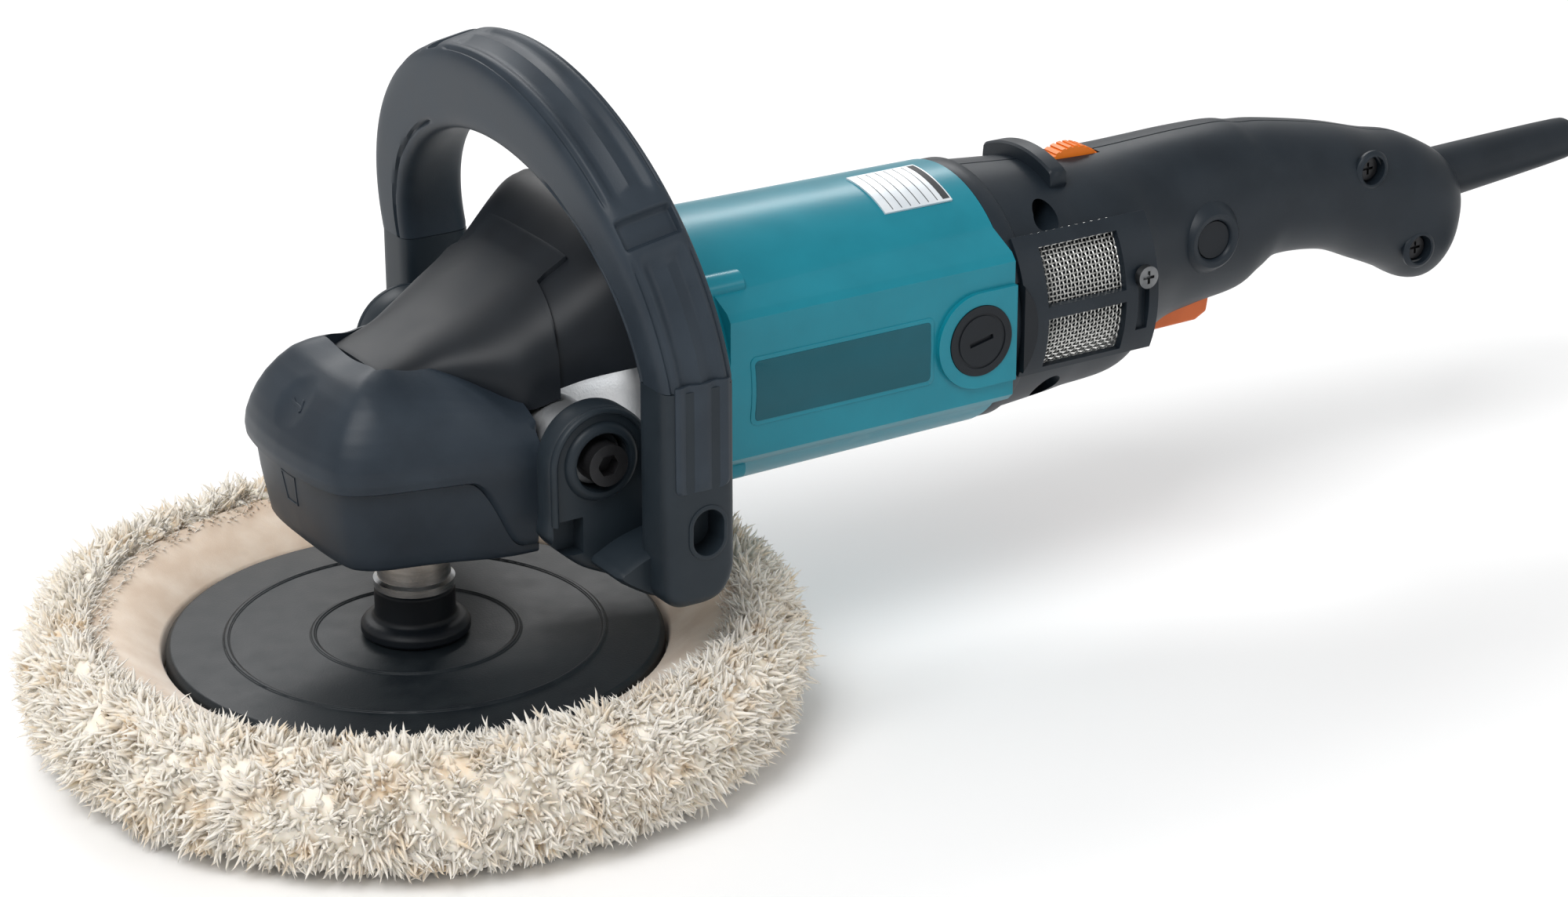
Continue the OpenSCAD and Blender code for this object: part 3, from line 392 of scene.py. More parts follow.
def smooth_path(points, count):
    """Points spaced evenly along a smooth curve through the given ones."""
    knots = [np.array(p, float) for p in points]
    knots = [2 * knots[0] - knots[1]] + knots + [2 * knots[-1] - knots[-2]]
    fine = []
    for a, b, c, d in zip(knots, knots[1:], knots[2:], knots[3:]):
        for t in np.linspace(0, 1, 24, endpoint=False):
            fine.append(
                0.5 * (2 * b + (c - a) * t + (2 * a - 5 * b + 4 * c - d) * t**2 + (3 * b - a - 3 * c + d) * t**3)
            )
    fine = np.array(fine + [knots[-2]])
    along = np.concatenate([[0], np.cumsum(np.linalg.norm(np.diff(fine, axis=0), axis=1))])
    spots = np.linspace(0, along[-1], count)
    return np.stack([np.interp(spots, along, fine[:, k]) for k in range(fine.shape[1])], 1)


print("helpers ready")

# %% [markdown]
# ## The free cord
# The cord here is 8 mm thick and comes to a little over 2.2 metres. It leaves the
# handle's tail level, keeps straight for a little, then falls to the floor under its own
# weight. The rest is wound as for storage, in two layers of turns side by side. A curve
# object with a round bevel is the natural way to draw it, since its own line is its length.

# %% Route of the cord
CORD = 8.0
start = (374, 0, 102.65)
drop = [
    start, (394, 0, 103.7), (424, 0, 105.27), (448, 0, 106.53), (472, 0, 107.79), (481, 0, 107.2),
    (491, 0, 104.2), (501, 0, 98), (509, 0, 89), (515, 0, 77), (520, 0, 60), (524.5, 0, 42),
    (530.5, 0, 29), (540, 0, 19), (552, 0, 13.5), (566, 0, 12),
]
coil_low, coil_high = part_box("cord_coil")
coil_x = (coil_low[0] + coil_high[0]) / 2 * 1000 - SPINDLE_X * 1000
coil_y = (coil_low[1] + coil_high[1]) / 2 * 1000
outer = 1000 * (coil_high[0] - coil_low[0]) / 2 - CORD / 2


def wound(upper_turns, lower_turns):
    """The coil: turns inward on the upper layer, down at the middle, and outward on the floor."""
    inner = outer - 3 * (CORD + 0.15)
    spots = []
    total = upper_turns + lower_turns
    for i in range(int(total * 48) + 1):
        turns = i / 48
        if turns < upper_turns:
            r = max(inner, outer - (CORD + 0.15) * turns)
            z = 1.5 * CORD
        else:
            gone = turns - upper_turns
            back = total - turns
            r = min(outer, inner + (CORD + 0.15) * max(0.0, gone - 0.5))
            r = max(r, outer - (CORD + 0.15) * back) if back < 0.02 else r
            z = CORD * (0.5 + max(0.0, 1 - gone / 0.5))
        a = math.pi / 2 - 2 * math.pi * turns
        spots.append((coil_x + r * math.cos(a), coil_y + r * math.sin(a), z + 0.05))
    return spots


def path_length(spots):
    return sum((Vector(b) - Vector(a)).length for a, b in zip(spots, spots[1:]))


fall = [tuple(p) for p in smooth_path(drop, 60)]
coil = wound(4.0, 3.5)
plug_low, plug_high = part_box("plug")
plug_mouth = (1000 * plug_high[0] - 1000 * SPINDLE_X, (plug_low[1] + plug_high[1]) * 500, 8.0)
lead = [
    (plug_mouth[0] + 9, plug_mouth[1] + 0.1, 5.2), (plug_mouth[0], plug_mouth[1], 6.6),
    (plug_mouth[0] - 14, plug_mouth[1], 8.0)
]
print(
    "fall", round(path_length(fall)), "mm, coil", round(path_length(coil)), "mm, ends at",
    [round(c, 1) for c in coil[-1]], "plug mouth", [round(c, 1) for c in plug_mouth]
)

# %% Draw the cord
route = fall + coil[1:] + lead
cord_curve = bpy.data.curves.new("mains_cord", "CURVE")
cord_curve.dimensions = "3D"
line = cord_curve.splines.new("POLY")
line.points.add(len(route) - 1)
for spot, place in zip(line.points, route):
    spot.co = (*at(*place), 1)
cord_curve.bevel_depth = CORD / 2000
cord_curve.bevel_resolution = 5
cord_curve.use_fill_caps = True
cord_curve.materials.append(FINISHES["cord_rubber"])
mains_cord = bpy.data.objects.new("mains_cord", cord_curve)
bpy.context.scene.collection.objects.link(mains_cord)
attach(mains_cord, "housing")
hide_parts("power_cord", "cord_coil")

# %% [markdown]
# The guard where the cord leaves the handle is a tapered rubber sleeve. Near its root it has
# a collar, and it ends in a small rounded lip. A turned profile about the cord's own line is
# all it takes. The far end gets a plug of the round two-pin kind, a loft with finger grips.

# %% Cord guard and plug
guard_root = np.array([394.0, 0.0, 103.7])
guard_way = np.array([math.cos(math.radians(3)), 0.0, math.sin(math.radians(3))])
guard_up = np.array([-guard_way[2], 0.0, guard_way[0]])
guard_profile = [
    (4.1, 0.2), (9.8, 0.2), (10.0, 0.8), (10.0, 5), (9.7, 9), (9.3, 24), (8.6, 46), (8.0, 62), (7.5, 72), (7.2, 74.6),
    (6.7, 75.6), (5.9, 75.9), (4.1, 75.9)
]
rings = []
for i in range(48):
    a = math.tau * i / 48
    rings.append([
        tuple(guard_root + guard_way * h + r * (math.cos(a) * np.array([0, 1, 0]) + math.sin(a) * guard_up))
        for r, h in guard_profile
    ])
count = len(guard_profile)
guard = make(
    "cord_sleeve", [p for ring in rings for p in ring],
    closed_faces(48, count),
    "cord_rubber", stands_for=["cord_guard"], sharp=50)


def rounded_box(half_a, half_b, power, steps=40):
    """Points round a box with soft corners: higher power, tighter corners."""
    spots = []
    for i in range(steps):
        a = math.tau * i / steps
        ca, sa = math.cos(a), math.sin(a)
        spots.append((bent(ca, 2 / power) * half_a, bent(sa, 2 / power) * half_b))
    return spots


mx, my, mz = plug_mouth
stations = [
    (0, 4.6, 4.6, 2), (4, 5.0, 5.0, 2), (18, 5.8, 6.2, 2), (28, 6.6, 7.6, 2.2), (33, 7.6, 13, 2.6),
    (37, 7.9, 16.6, 3), (44, 7.2, 16.2, 3), (50, 7.6, 17.0, 3.2), (55.5, 7.8, 17.3, 3.4), (56.8, 7.2, 16.6, 3.4)
]
rings = [[(mx - s, my + b, mz + a) for a, b in rounded_box(hz, hy, e)] for s, hz, hy, e in stations]
plug_body = make("mains_plug", *skin(rings), "cord_rubber", stands_for=["plug"])
for side, y in (("a", -9.5), ("b", 9.5)):
    pin = spun([(0.01, 0), (2.35, 0), (2.35, 17.5), (1.9, 18.7), (0.01, 19)], 24, "x")
    pin = [[(mx - 56.6 - p[0], my + y + p[1], mz + p[2]) for p in ring] for ring in pin]
    pin_piece = make("plug_pin_" + side, *skin([*zip(*pin)], capped=True), "bright_steel")
    pin_piece.parent = plug_body
tie_rings = []
for i in range(40):
    a = math.tau * i / 40
    ca, sa = math.cos(a), math.sin(a)
    u = bent(ca, 0.4) * 17.6
    v = bent(sa, 0.4) * 8.35
    tie_rings.append([
        (coil_x - 43.5 + u * 0.999, coil_y + 4, 8.35 + v), (coil_x - 43.5 + u * 1.0, coil_y - 4, 8.35 + v),
        (coil_x - 43.5 + u * 0.93, coil_y - 4, 8.35 + v * 0.93),
        (coil_x - 43.5 + u * 0.93, coil_y + 4, 8.35 + v * 0.93)
    ])
tie = make("cord_tie", [p for r in tie_rings for p in r], closed_faces(40, 4), "inner_plastic")
print("guard, plug and tie made")

# %% [markdown]
# ## The wool pad
# The pad is a sheepskin: a thick pile on a thin hide that is cupped round the rubber disc. A
# real pile is too fine to draw hair by hair, and one smooth ring would look like a bun. So it
# is built in two layers. The first is a ring whose skin swells into clumps, made from the
# distance to scattered cell centres. The second is many thousand small curved locks that
# stand on that skin, each lock leaning its own way.

# %% Clumped pile
DICE = np.random.default_rng(7)
pile_line = smooth_path([
    (40, 1.6), (80, 1.4), (103, 1.8), (111, 4.6), (
        116.2, 10.5
    ), (118.3, 18), (118.2, 25), (115.6, 32.5), (110.5, 37.6),
    (105, 39.6), (101, 38.4), (99.4, 36.2),
], 84)
ROUND = 540


def clump(x, y, z):
    """How far the pile stands out here, in millimetres."""
    cell = noise.voronoi(Vector((x / 7.5, y / 7.5, z / 7.5)))[0]
    fine = noise.voronoi(Vector((x / 3.1 + 9, y / 3.1, z / 3.1)))[0]
    wave = noise.noise(Vector((x / 24, y / 24, z / 24)))
    return 3.4 * (0.42 - cell[0]) + 1.3 * (0.42 - fine[0]) + 1.6 * wave


slope = np.gradient(pile_line, axis=0)
facing = np.stack([-slope[:, 1], slope[:, 0]], 1)
facing /= np.linalg.norm(facing, axis=1)[:, None]
facing = -facing
rings = []
for i in range(ROUND):
    a = math.tau * i / ROUND
    ca, sa = math.cos(a), math.sin(a)
    ring = []
    for (r, z), (nr, nz) in zip(pile_line, facing):
        full = min(1.0, max(0.0, (r - 84) / 16)) * (0.35 if z > 34 and r < 102 else 1.0)
        out = full * clump(r * ca, r * sa, z)
        rr, zz = r + nr * out, max(0.15, z + nz * out)
        ring.append((rr * ca, rr * sa, zz))
    ring += [(81.8 * ca, 81.8 * sa, 24.6), (80.9 * ca, 80.9 * sa, 15.1), (40 * ca, 40 * sa, 15.1)]
    rings.append(ring)
count = len(rings[0])
pile_points = [p for ring in rings for p in ring]
pile_faces = closed_faces(ROUND, count)
pile = make("wool_pile", pile_points, pile_faces, "wool", body="spindle_unit", stands_for=["wool_pad"], sharp=180)
print("pile skin with", len(pile_faces), "faces")

# %% Locks of wool on the pile
LOCKS = 15000
rim = np.array(rings)[:, :len(pile_line)]
weight = np.linalg.norm(np.diff(pile_line, axis=0), axis=1) * pile_line[:-1, 0] * (pile_line[:-1, 0] > 97)
pick_v = DICE.choice(len(weight), LOCKS, p=weight / weight.sum())
pick_u = DICE.integers(0, ROUND, LOCKS)
roots = rim[pick_u, pick_v]
angle = math.tau * pick_u / ROUND
radial = np.stack([np.cos(angle), np.sin(angle), 0 * angle], 1)
around = np.stack([-np.sin(angle), np.cos(angle), 0 * angle], 1)
normal = radial * facing[pick_v, 0:1] + np.array([0, 0, 1.0]) * facing[pick_v, 1:2]
swirl = np.array([noise.noise_vector(Vector(p / 11.0)) for p in roots])
lean = DICE.normal(0, 0.42, (LOCKS, 3)) + 1.1 * swirl
way = normal + lean
way /= np.linalg.norm(way, axis=1)[:, None]
curl = np.cross(way, normal + 0.01) + 0.5 * DICE.normal(0, 1, (LOCKS, 3))
curl /= np.linalg.norm(curl, axis=1)[:, None]
long = DICE.uniform(3.4, 6.6, LOCKS) * np.where(roots[:, 2] < 6, 0.55, 1.0)
thick = DICE.uniform(0.55, 1.05, LOCKS)
steps = [(-0.18, 1.0, 0.0), (0.28, 0.95, 0.10), (0.6, 0.68, 0.32), (0.86, 0.36, 0.62)]
side_a = np.cross(way, around + 0.02)
side_a /= np.linalg.norm(side_a, axis=1)[:, None]
side_b = np.cross(way, side_a)
verts = np.zeros((LOCKS, 13, 3))
for s, (t, fat, bend) in enumerate(steps):
    middle = roots + way * (long * t)[:, None] + curl * (long * bend * 0.45)[:, None]
    for k in range(3):
        a = math.tau * k / 3
        verts[:, 3 * s + k] = middle + (side_a * math.cos(a) + side_b * math.sin(a)) * (thick * fat)[:, None]
verts[:, 12] = roots + way * long[:, None] * 0.98 + curl * (long * 0.45)[:, None]
verts[..., 2] = np.maximum(verts[..., 2], 0.1)
lock_faces = [
    (3 * s + k, 3 * s + (k + 1) % 3, 3 * s + 3 + (k + 1) % 3, 3 * s + 3 + k)
    for s in range(3)
    for k in range(3)
]
lock_faces += [(9 + k, 9 + (k + 1) % 3, 12) for k in range(3)] + [(2, 1, 0)]
all_faces = [tuple(13 * n + i for i in face) for n in range(LOCKS) for face in lock_faces]
make("wool_locks", verts.reshape(-1, 3).tolist(), all_faces, "wool", body="spindle_unit", sharp=180)
reach = np.abs(verts.reshape(-1, 3)).max(0)
print(LOCKS, "locks, reaching", reach.round(1), "mm from the spindle")

# %% [markdown]
# Inside the pile the bare side of the hide shows as a pale, raw bowl that rises from the
# disc's edge to the pile. It is never quite even, so its skin gets a slow wave. A fringe of
# fine short hairs breaks the line where the pile curls over it.

# %% Hide bowl and its fringe
bowl = [
    (79.4, 17.2), (80.6, 17.0), (81.2, 24.4), (90, 30.4), (99.0, 36.3), (98.4, 37.6), (97.2, 37.7), (88, 33.0),
    (79.2, 27.2), (78.3, 26.0), (78.2, 17.6)
]
rings = []
for i in range(300):
    a = math.tau * i / 300
    sway = noise.noise(
        Vector((2.2 * math.cos(a), 2.2 * math.sin(a), 0.3))
    ) + 0.4 * noise.noise(Vector((9 * math.cos(a), 9 * math.sin(a), 4)))
    rings.append([(r * math.cos(a), r * math.sin(a), z + 0.9 * sway * max(0, (r - 82) / 17)) for r, z in bowl])
count = len(bowl)
make(
    "hide_bowl", [p for ring in rings for p in ring], closed_faces(300, count), "hide", body="spindle_unit",
    stands_for=["pad_hide"], sharp=60
)

HAIRS = 2600
a = DICE.uniform(0, math.tau, HAIRS)
r0 = DICE.uniform(95, 103, HAIRS)
radial = np.stack([np.cos(a), np.sin(a), 0 * a], 1)
around = np.stack([-np.sin(a), np.cos(a), 0 * a], 1)
base = radial * r0[:, None] + np.array([0, 0, 1.0]) * np.interp(r0, [95, 99, 103], [35.2, 37.6, 40.2])[:, None]
way = -radial * DICE.uniform(
    0.2, 1.0, HAIRS
)[:, None] + np.array([0, 0, 1.0]) * DICE.uniform(0.3, 0.9, HAIRS)[:, None] + around * DICE.normal(0, 0.5, HAIRS)[:, None]
way /= np.linalg.norm(way, axis=1)[:, None]
long = DICE.uniform(2.0, 5.5, HAIRS)
verts = np.zeros((HAIRS, 7, 3))
for s, (t, fat) in enumerate([(0, 0.42), (0.55, 0.3)]):
    for k in range(3):
        b = math.tau * k / 3
        verts[:, 3 * s + k] = base + way * (long * t)[:, None] + (around * math.cos(b) + radial * math.sin(b)) * fat
verts[:, 6] = base + way * long[:, None] - np.array([0, 0, 0.6])
hair_faces = [
    (k, (k + 1) % 3, 3 + (k + 1) % 3, 3 + k)
    for k in range(3)
] + [(3 + k, 3 + (k + 1) % 3, 6) for k in range(3)] + [(2, 1, 0)]
make(
    "hide_fringe", verts.reshape(-1, 3).tolist(),
    [tuple(7 * n + i for i in f) for n in range(HAIRS) for f in hair_faces], "wool", body="spindle_unit", sharp=180
)
print("hide bowl and", HAIRS, "fringe hairs")

# %% [markdown]
# ## The head boot
# The rubber boot over the gear head is one soft dome with a hard line round it. Above the line
# the dome bulges out, and below it the skirt steps in. Near the back the line swoops down in
# an S. The boot is drawn as an outline, moved out or in at each height, where the height of
# the line depends on where along the outline we are. That gives the S with no cutting at all.

# %% Outline and heights of the boot
half_outline = smooth_path([
    (-36.5, 0), (-36.2, 14), (-35, 24.5), (-32.6, 29), (
        -26.4, 32.8
    ), (-14, 36), (-4.6, 38.6), (6.6, 42.4), (19.3, 45.2),
], 64)
outline = [(x, -y) for x, y in half_outline[::-1]] + [(x, y) for x, y in half_outline[1:]]
LOWER = [(66, -1.6), (66.5, -0.7), (67.5, 0), (72, 1.0), (80, 2.9), (93, 4.7)]
UPPER = [(66, 1.6), (75, 3.6), (85, 5.9), (93, 7.6), (96, 8.0), (100, 7.3), (104, 5.6), (108, 3.2), (112, 0.0),
         (116, -4.4), (119.5, -9.5), (122.5, -15.5), (125, -22), (126.7, -28.5), (127.5, -34)]


def crease(x):
    """Height of the hard line: level in front, then down in an S towards the back."""
    t = min(1.0, max(0.0, (x + 3.0) / 17.0))
    return 92.5 - 23.0 * t * t * (3 - 2 * t)


def moved_out(x, y, d):
    """A point of the outline moved outward by d, most at the front."""
    if x > 19.0:
        return x, y * (1 + min(0.0, d) / 40)
    q = Vector((x + 8, y)).normalized()
    fade = min(1.0, (19.3 - x) / 6.0)
    side = y + 0.7 * d * q[1]
    back = y * (1 + min(0.0, d) / 40) if d < 0 else side
    return x + d * q[0] * fade, side * fade + back * (1 - fade)


def boot_ring(kind, t):
    """One ring: a share t of the way up the skirt, or up the dome."""
    ring = []
    for x, y in outline:
        line = crease(x)
        z = 66 + t * (line - 66) if kind == "skirt" else line + t * (127.5 - line)
        table = LOWER if kind == "skirt" else UPPER
        d = table_at(table, z)
        if kind == "dome" and t < 0.02:
            d -= 1.3 * (1 - t / 0.02)
        px, py = moved_out(x, y, d)
        dip = 7.8 * min(1.25, max(0.0, (px + 26) / 33)) * max(0.0, (z - 103) / 24.5)
        dent = 1.4 * max(0.0, 1 - ((py - 1) ** 2 + ((z - 111) * 1.2) ** 2) / 64) if px < -20 else 0.0
        ring.append((px + dent, py, z - dip))
    return ring


skirt = [boot_ring("skirt", t) for t in (0, 0.02, 0.06, 0.2, 0.4, 0.6, 0.8, 0.94, 0.985)]
groove = []
for x, y, z in skirt[-1]:
    q = Vector((x + 8, y)).normalized()
    groove.append((x - 0.8 * q[0], y - 0.8 * q[1], z + 0.4))
dome = [boot_ring("dome", t) for t in (0.004, 0.02, *np.linspace(0.05, 1, 44))]
boot = make("gear_head_boot", *skin(skirt + [groove] + dome), "boot_rubber", stands_for=["head_boot"], sharp=50)
print("boot with", len(skirt + dome) + 1, "rings of", len(outline), "points")

# %% [markdown]
# The cowl over the neck is a hard plastic shell that starts as a narrow tongue on the boot
# and widens up to the motor. Its roof is flat and its shoulders are tight, so each section is
# a squarish arch. On top sits a raised panel with stepped sides. The tongue lies in a notch
# of the boot, and the notch is cut with the cowl's own shape, made a little larger.

# %% Cowl and its raised panel
COWL = [
    (-18, 119.4, 16.6, 116.6, 3.4), (
        -7.7, 122.4, 19.3, 117.2, 3.2
    ), (0.5, 125.4, 22.4, 117, 3.0), (11.6, 130.2, 30.4, 115.5, 2.8),
    (
        20, 134.6, 36.4, 112, 2.8
    ), (30, 140.4, 38.6, 114, 3.0), (40, 147, 41.5, 116.6, 3.5), (55, 157, 46.5, 119, 4.6), (62, 159.5, 47.8, 120, 4.6),
]
cowl_line = smooth_path(COWL, 80)


def arch_section(x, top, wide, low, power=4.6, steps=48):
    """A squarish arch across the machine, closed along its foot."""
    ring = []
    for i in range(steps + 1):
        a = math.pi * i / steps
        ca, sa = math.cos(a), math.sin(a)
        ring.append((x, bent(ca, 2 / power) * wide, low + (top - low) * abs(sa) ** (2 / power)))
    return ring


shell = [arch_section(*row) for row in cowl_line]
make("neck_cowl", *skin(shell), "black_plastic", stands_for=["top_cover"], sharp=30)
tool_rings = [
    arch_section(x, top + 24, wide + 0.5, low - 0.3, 14)
    for x, top, wide, low, power in cowl_line if x < 21
]
tool_rings[0] = [(x - 0.5, y, z) for x, y, z in tool_rings[0]]
carve(boot, make("notch_tool", *skin(tool_rings), "boot_rubber", body=None))

PANEL = [(-17.4, 1.0), (30.6, 1.0), (33.4, 0.54), (36, 0.53), (43.4, 0.54)]
panel_rings = []
for x in np.concatenate([np.linspace(-17.4, 30, 60), np.linspace(30.6, 33.4, 8), np.linspace(34, 43.4, 14)]):
    top, wide, low, power = [float(np.interp(x, cowl_line[:, 0], cowl_line[:, k])) for k in (1, 2, 3, 4)]
    lift = 1.7 * min(1.0, (x + 17.4) / 1.0 + 0.1, (43.4 - x) / 0.9 + 0.1)
    wide += lift * 0.9
    half = wide * table_at(PANEL, x)
    ring = []
    for i in range(49):
        ca = math.cos(math.pi * i / 48)
        y = half * bent(ca, 0.5)
        roof = low + (top + lift - low) * max(0.0, 1 - abs(y / wide) ** power) ** (1 / power)
        ring.append((x, y, roof - (0.35 if i in (0, 48) else 0)))
    ring.insert(0, (x, half, ring[0][2] - 2.2))
    ring.append((x, -half, ring[-1][2] - 2.2))
    panel_rings.append(ring)
make("cowl_panel", *skin(panel_rings), "black_plastic", sharp=24)
print("cowl of", len(shell), "sections, panel of", len(panel_rings))

# %% [markdown]
# Two small marks finish the boot: an outlined trapezoid moulded low on the front, and a
# pointer in the shallow dent above it that shows which way the pad turns. Each is a few thin
# raised strips that follow the rubber.

# %% Marks on the boot
def strip(name, spots, width, rise, finish):
    """A thin raised strip along spots, each a point and its outward direction."""
    rings = []
    for n, (p, o) in enumerate(spots):
        ahead = np.array(spots[min(n + 1, len(spots) - 1)][0]) - np.array(spots[max(n - 1, 0)][0])
        ahead = ahead / np.linalg.norm(ahead)
        o = np.array(o, float) / np.linalg.norm(o)
        side = np.cross(o, ahead)
        p = np.array(p, float)
        rings.append([
            tuple(p + side * s * width / 2 + o * h)
            for s, h in ((-1, -0.6), (-0.9, rise * 0.7), (-0.5, rise), (0.5, rise), (0.9, rise * 0.7), (1, -0.6))
        ])
    return make(name, *skin(rings), finish, sharp=40)


def on_skirt(y, z):
    d = table_at(LOWER, z)
    return (-36.45 - d + 0.0009 * y * y, y, z)


corners = [(-3.2, 80), (3.2, 80), (4.4, 89.3), (-4.4, 89.3), (-3.2, 80)]
for n, (a, b) in enumerate(zip(corners, corners[1:])):
    spots = [
        (on_skirt(a[0] + (b[0] - a[0]) * t, a[1] + (b[1] - a[1]) * t), (-1, 0, 0.12))
        for t in np.linspace(-0.03, 1.03, 6)
    ]
    strip("skirt_mark_" + str(n), spots, 0.55, 0.22, "boot_rubber")


def on_dome(y, z):
    """The dome's front skin at a place across the machine and a height."""
    near = min((p for p in dome_points if p[0] < -20), key=lambda p: (p[1] - y) ** 2 + (p[2] - z) ** 2)
    return (near[0], y, near[2])


dome_points = [p for ring in dome for p in ring]
arrow = [((-3.8, 110.0), (3.6, 110.9)), ((-3.8, 110.0), (-1.6, 112.2))]
for n, (a, b) in enumerate(arrow):
    spots = [
        (on_dome(a[0] + (b[0] - a[0]) * t, a[1] + (b[1] - a[1]) * t), (-0.75, 0, 0.66))
        for t in np.linspace(0, 1, 5)
    ]
    strip("turn_pointer_" + str(n), spots, 1.0, 0.3, "boot_rubber")
print("marks added")

# %% [markdown]
# ## The loop handle
# The loop's legs stand up from the bolt plates, then the arch leans forward about a line
# across the machine. Its bar is wider at the top than at the legs, rounded all round, and
# soft to hold: long flutes run along the outside between two cross bands, and a thin line is
# let into the front face. All of that can be one sweep, if the section may change on the way.

# %% Sweep of the grip
grip_low, grip_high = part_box("loop_grip")
HALF = 1000 * (grip_high[1] - grip_low[1]) / 2
BEND_Z, BEND_X, LEAN = 127.0, 49.5, math.radians(9.5)
RISE, RISE_IN, BAR, DEEP = 84.7, 56.3, 18.5, 24.0


def on_arch(angle, out, back):
    """A place on the arch: angle up from one leg, share of the bar outward, and depth."""
    a = math.radians(angle)
    outside = np.array([-HALF * math.cos(a), RISE * math.sin(a)])
    inside = np.array([-(HALF - BAR) * math.cos(a), RISE_IN * math.sin(a)])
    y, h = inside + (outside - inside) * out
    return (
        BEND_X + back * math.cos(LEAN) - h * math.sin(LEAN), y, BEND_Z + h * math.cos(LEAN) + back * math.sin(LEAN)
    )


def dip_at(x, centre, half):
    """A smooth trough of depth one, centre and half width given."""
    t = abs(x - centre) / half
    return math.cos(t * math.pi / 2) ** 2 if t < 1 else 0.0


def ramp_at(x, low, high, soft):
    return min(1.0, max(0.0, (x - low) / soft), 1.0) * min(1.0, max(0.0, (high - x) / soft))


def grip_section(angle):
    thick = np.linalg.norm(np.array(on_arch(angle, 1, 0)) - np.array(on_arch(angle, 0, 0)))
    ring = []
    steps = 104
    panel = max(
        ramp_at(angle, 40, 104, 2.5), ramp_at(angle, -9, 29, 2.0), ramp_at(angle, 151, 189, 2.0),
        ramp_at(angle, 114, 140, 2.5)
    )
    band = max(
        ramp_at(angle, 31.0, 37.5, 0.8), ramp_at(angle, 142.5, 149, 0.8), 0.7 * ramp_at(angle, 106.5, 111.5, 0.8)
    )
    line = max(ramp_at(angle, -9, 62, 2.0), ramp_at(angle, 118, 189, 2.0))
    for i in range(steps):
        a = math.tau * i / steps
        ca, sa = math.cos(a), math.sin(a)
        out = bent(ca, 0.42)
        back = bent(sa, 0.42)
        r, q = out * thick / 2, back * DEEP / 2
        if out > 0.9:
            trough = dip_at(q, -4.4, 3.6) + dip_at(q, 4.4, 3.6)
            edge = max(0.0, 1 - abs(abs(q) - 9.3) / 0.7)
            r -= panel * (1.7 * trough + 0.9 * edge) + band * 2.6 * ramp_at(q, -9.6, 9.6, 1.0)
        if back < -0.9:
            place = r + thick / 2
            q += line * 1.2 * dip_at(place, 4.6, 1.0)
        ring.append(on_arch(angle, 0.5 + r / thick, q))
    return ring


angles = sorted(
    set(
        np.round(
            np.concatenate([
                np.linspace(0, 180, 150), np.arange(30, 39, 0.4), np.arange(141, 150, 0.4), np.arange(105, 113, 0.4)
            ]),
            3
        )
    )
)
sweep = [grip_section(angle) for angle in angles]
foot_a, foot_b = [[[(x, y, min(z, BEND_Z) - 5) for x, y, z in ring]] for ring in (sweep[0], sweep[-1])]
grip = make("soft_grip", *skin(foot_a + sweep + foot_b), "grip_rubber", stands_for=["loop_grip"], sharp=42)
level = [
    [(0, -130, 80), (110, -130, 80), (110, 130, 80), (0, 130, 80)],
    [(0, -130, BEND_Z + 0.15), (110, -130, BEND_Z + 0.15), (110, 130, BEND_Z + 0.15), (0, 130, BEND_Z + 0.15)]
]
carve(grip, make("level_tool", *skin(level), "grip_rubber", body=None))
print("grip swept through", len(angles), "sections")

# %% Legs, plates and their rims
def post(x, z, r, y0, y1):
    """A round tool across the machine, along Y."""
    ring = [(r * math.cos(a), r * math.sin(a)) for a in np.linspace(0, math.tau, 40, endpoint=False)]
    return make("tool", *skin([[(x + u, y, z + v) for u, v in ring] for y in (y0, y1)]), "handle_plastic", body=None)


def block(x0, y0, z0, x1, y1, z1):
    return make(
        "tool", *skin([[(x, y0, z0), (x, y1, z0), (x, y1, z1), (x, y0, z1)] for x in (x0, x1)]), "handle_plastic",
        body=None
    )


def slab(outline, table, side, name):
    """A flat piece across the machine: an outline in X and Z, drawn in a little at each face."""
    line = np.array(outline, float)
    ahead = np.roll(line, -1, 0) - np.roll(line, 1, 0)
    ahead /= np.linalg.norm(ahead, axis=1)[:, None]
    turn = np.sign(np.sum(line[:, 0] * np.roll(line[:, 1], -1) - np.roll(line[:, 0], -1) * line[:, 1]))
    inward = turn * np.stack([-ahead[:, 1], ahead[:, 0]], 1)
    rings = [[(x, side * y, z) for x, z in line + inward * inset] for y, inset in table]
    return make(name, *skin(rings), "loop_plastic", sharp=40)


def dense(corners, count):
    return smooth_path(corners + [corners[0]], count)[:-1]


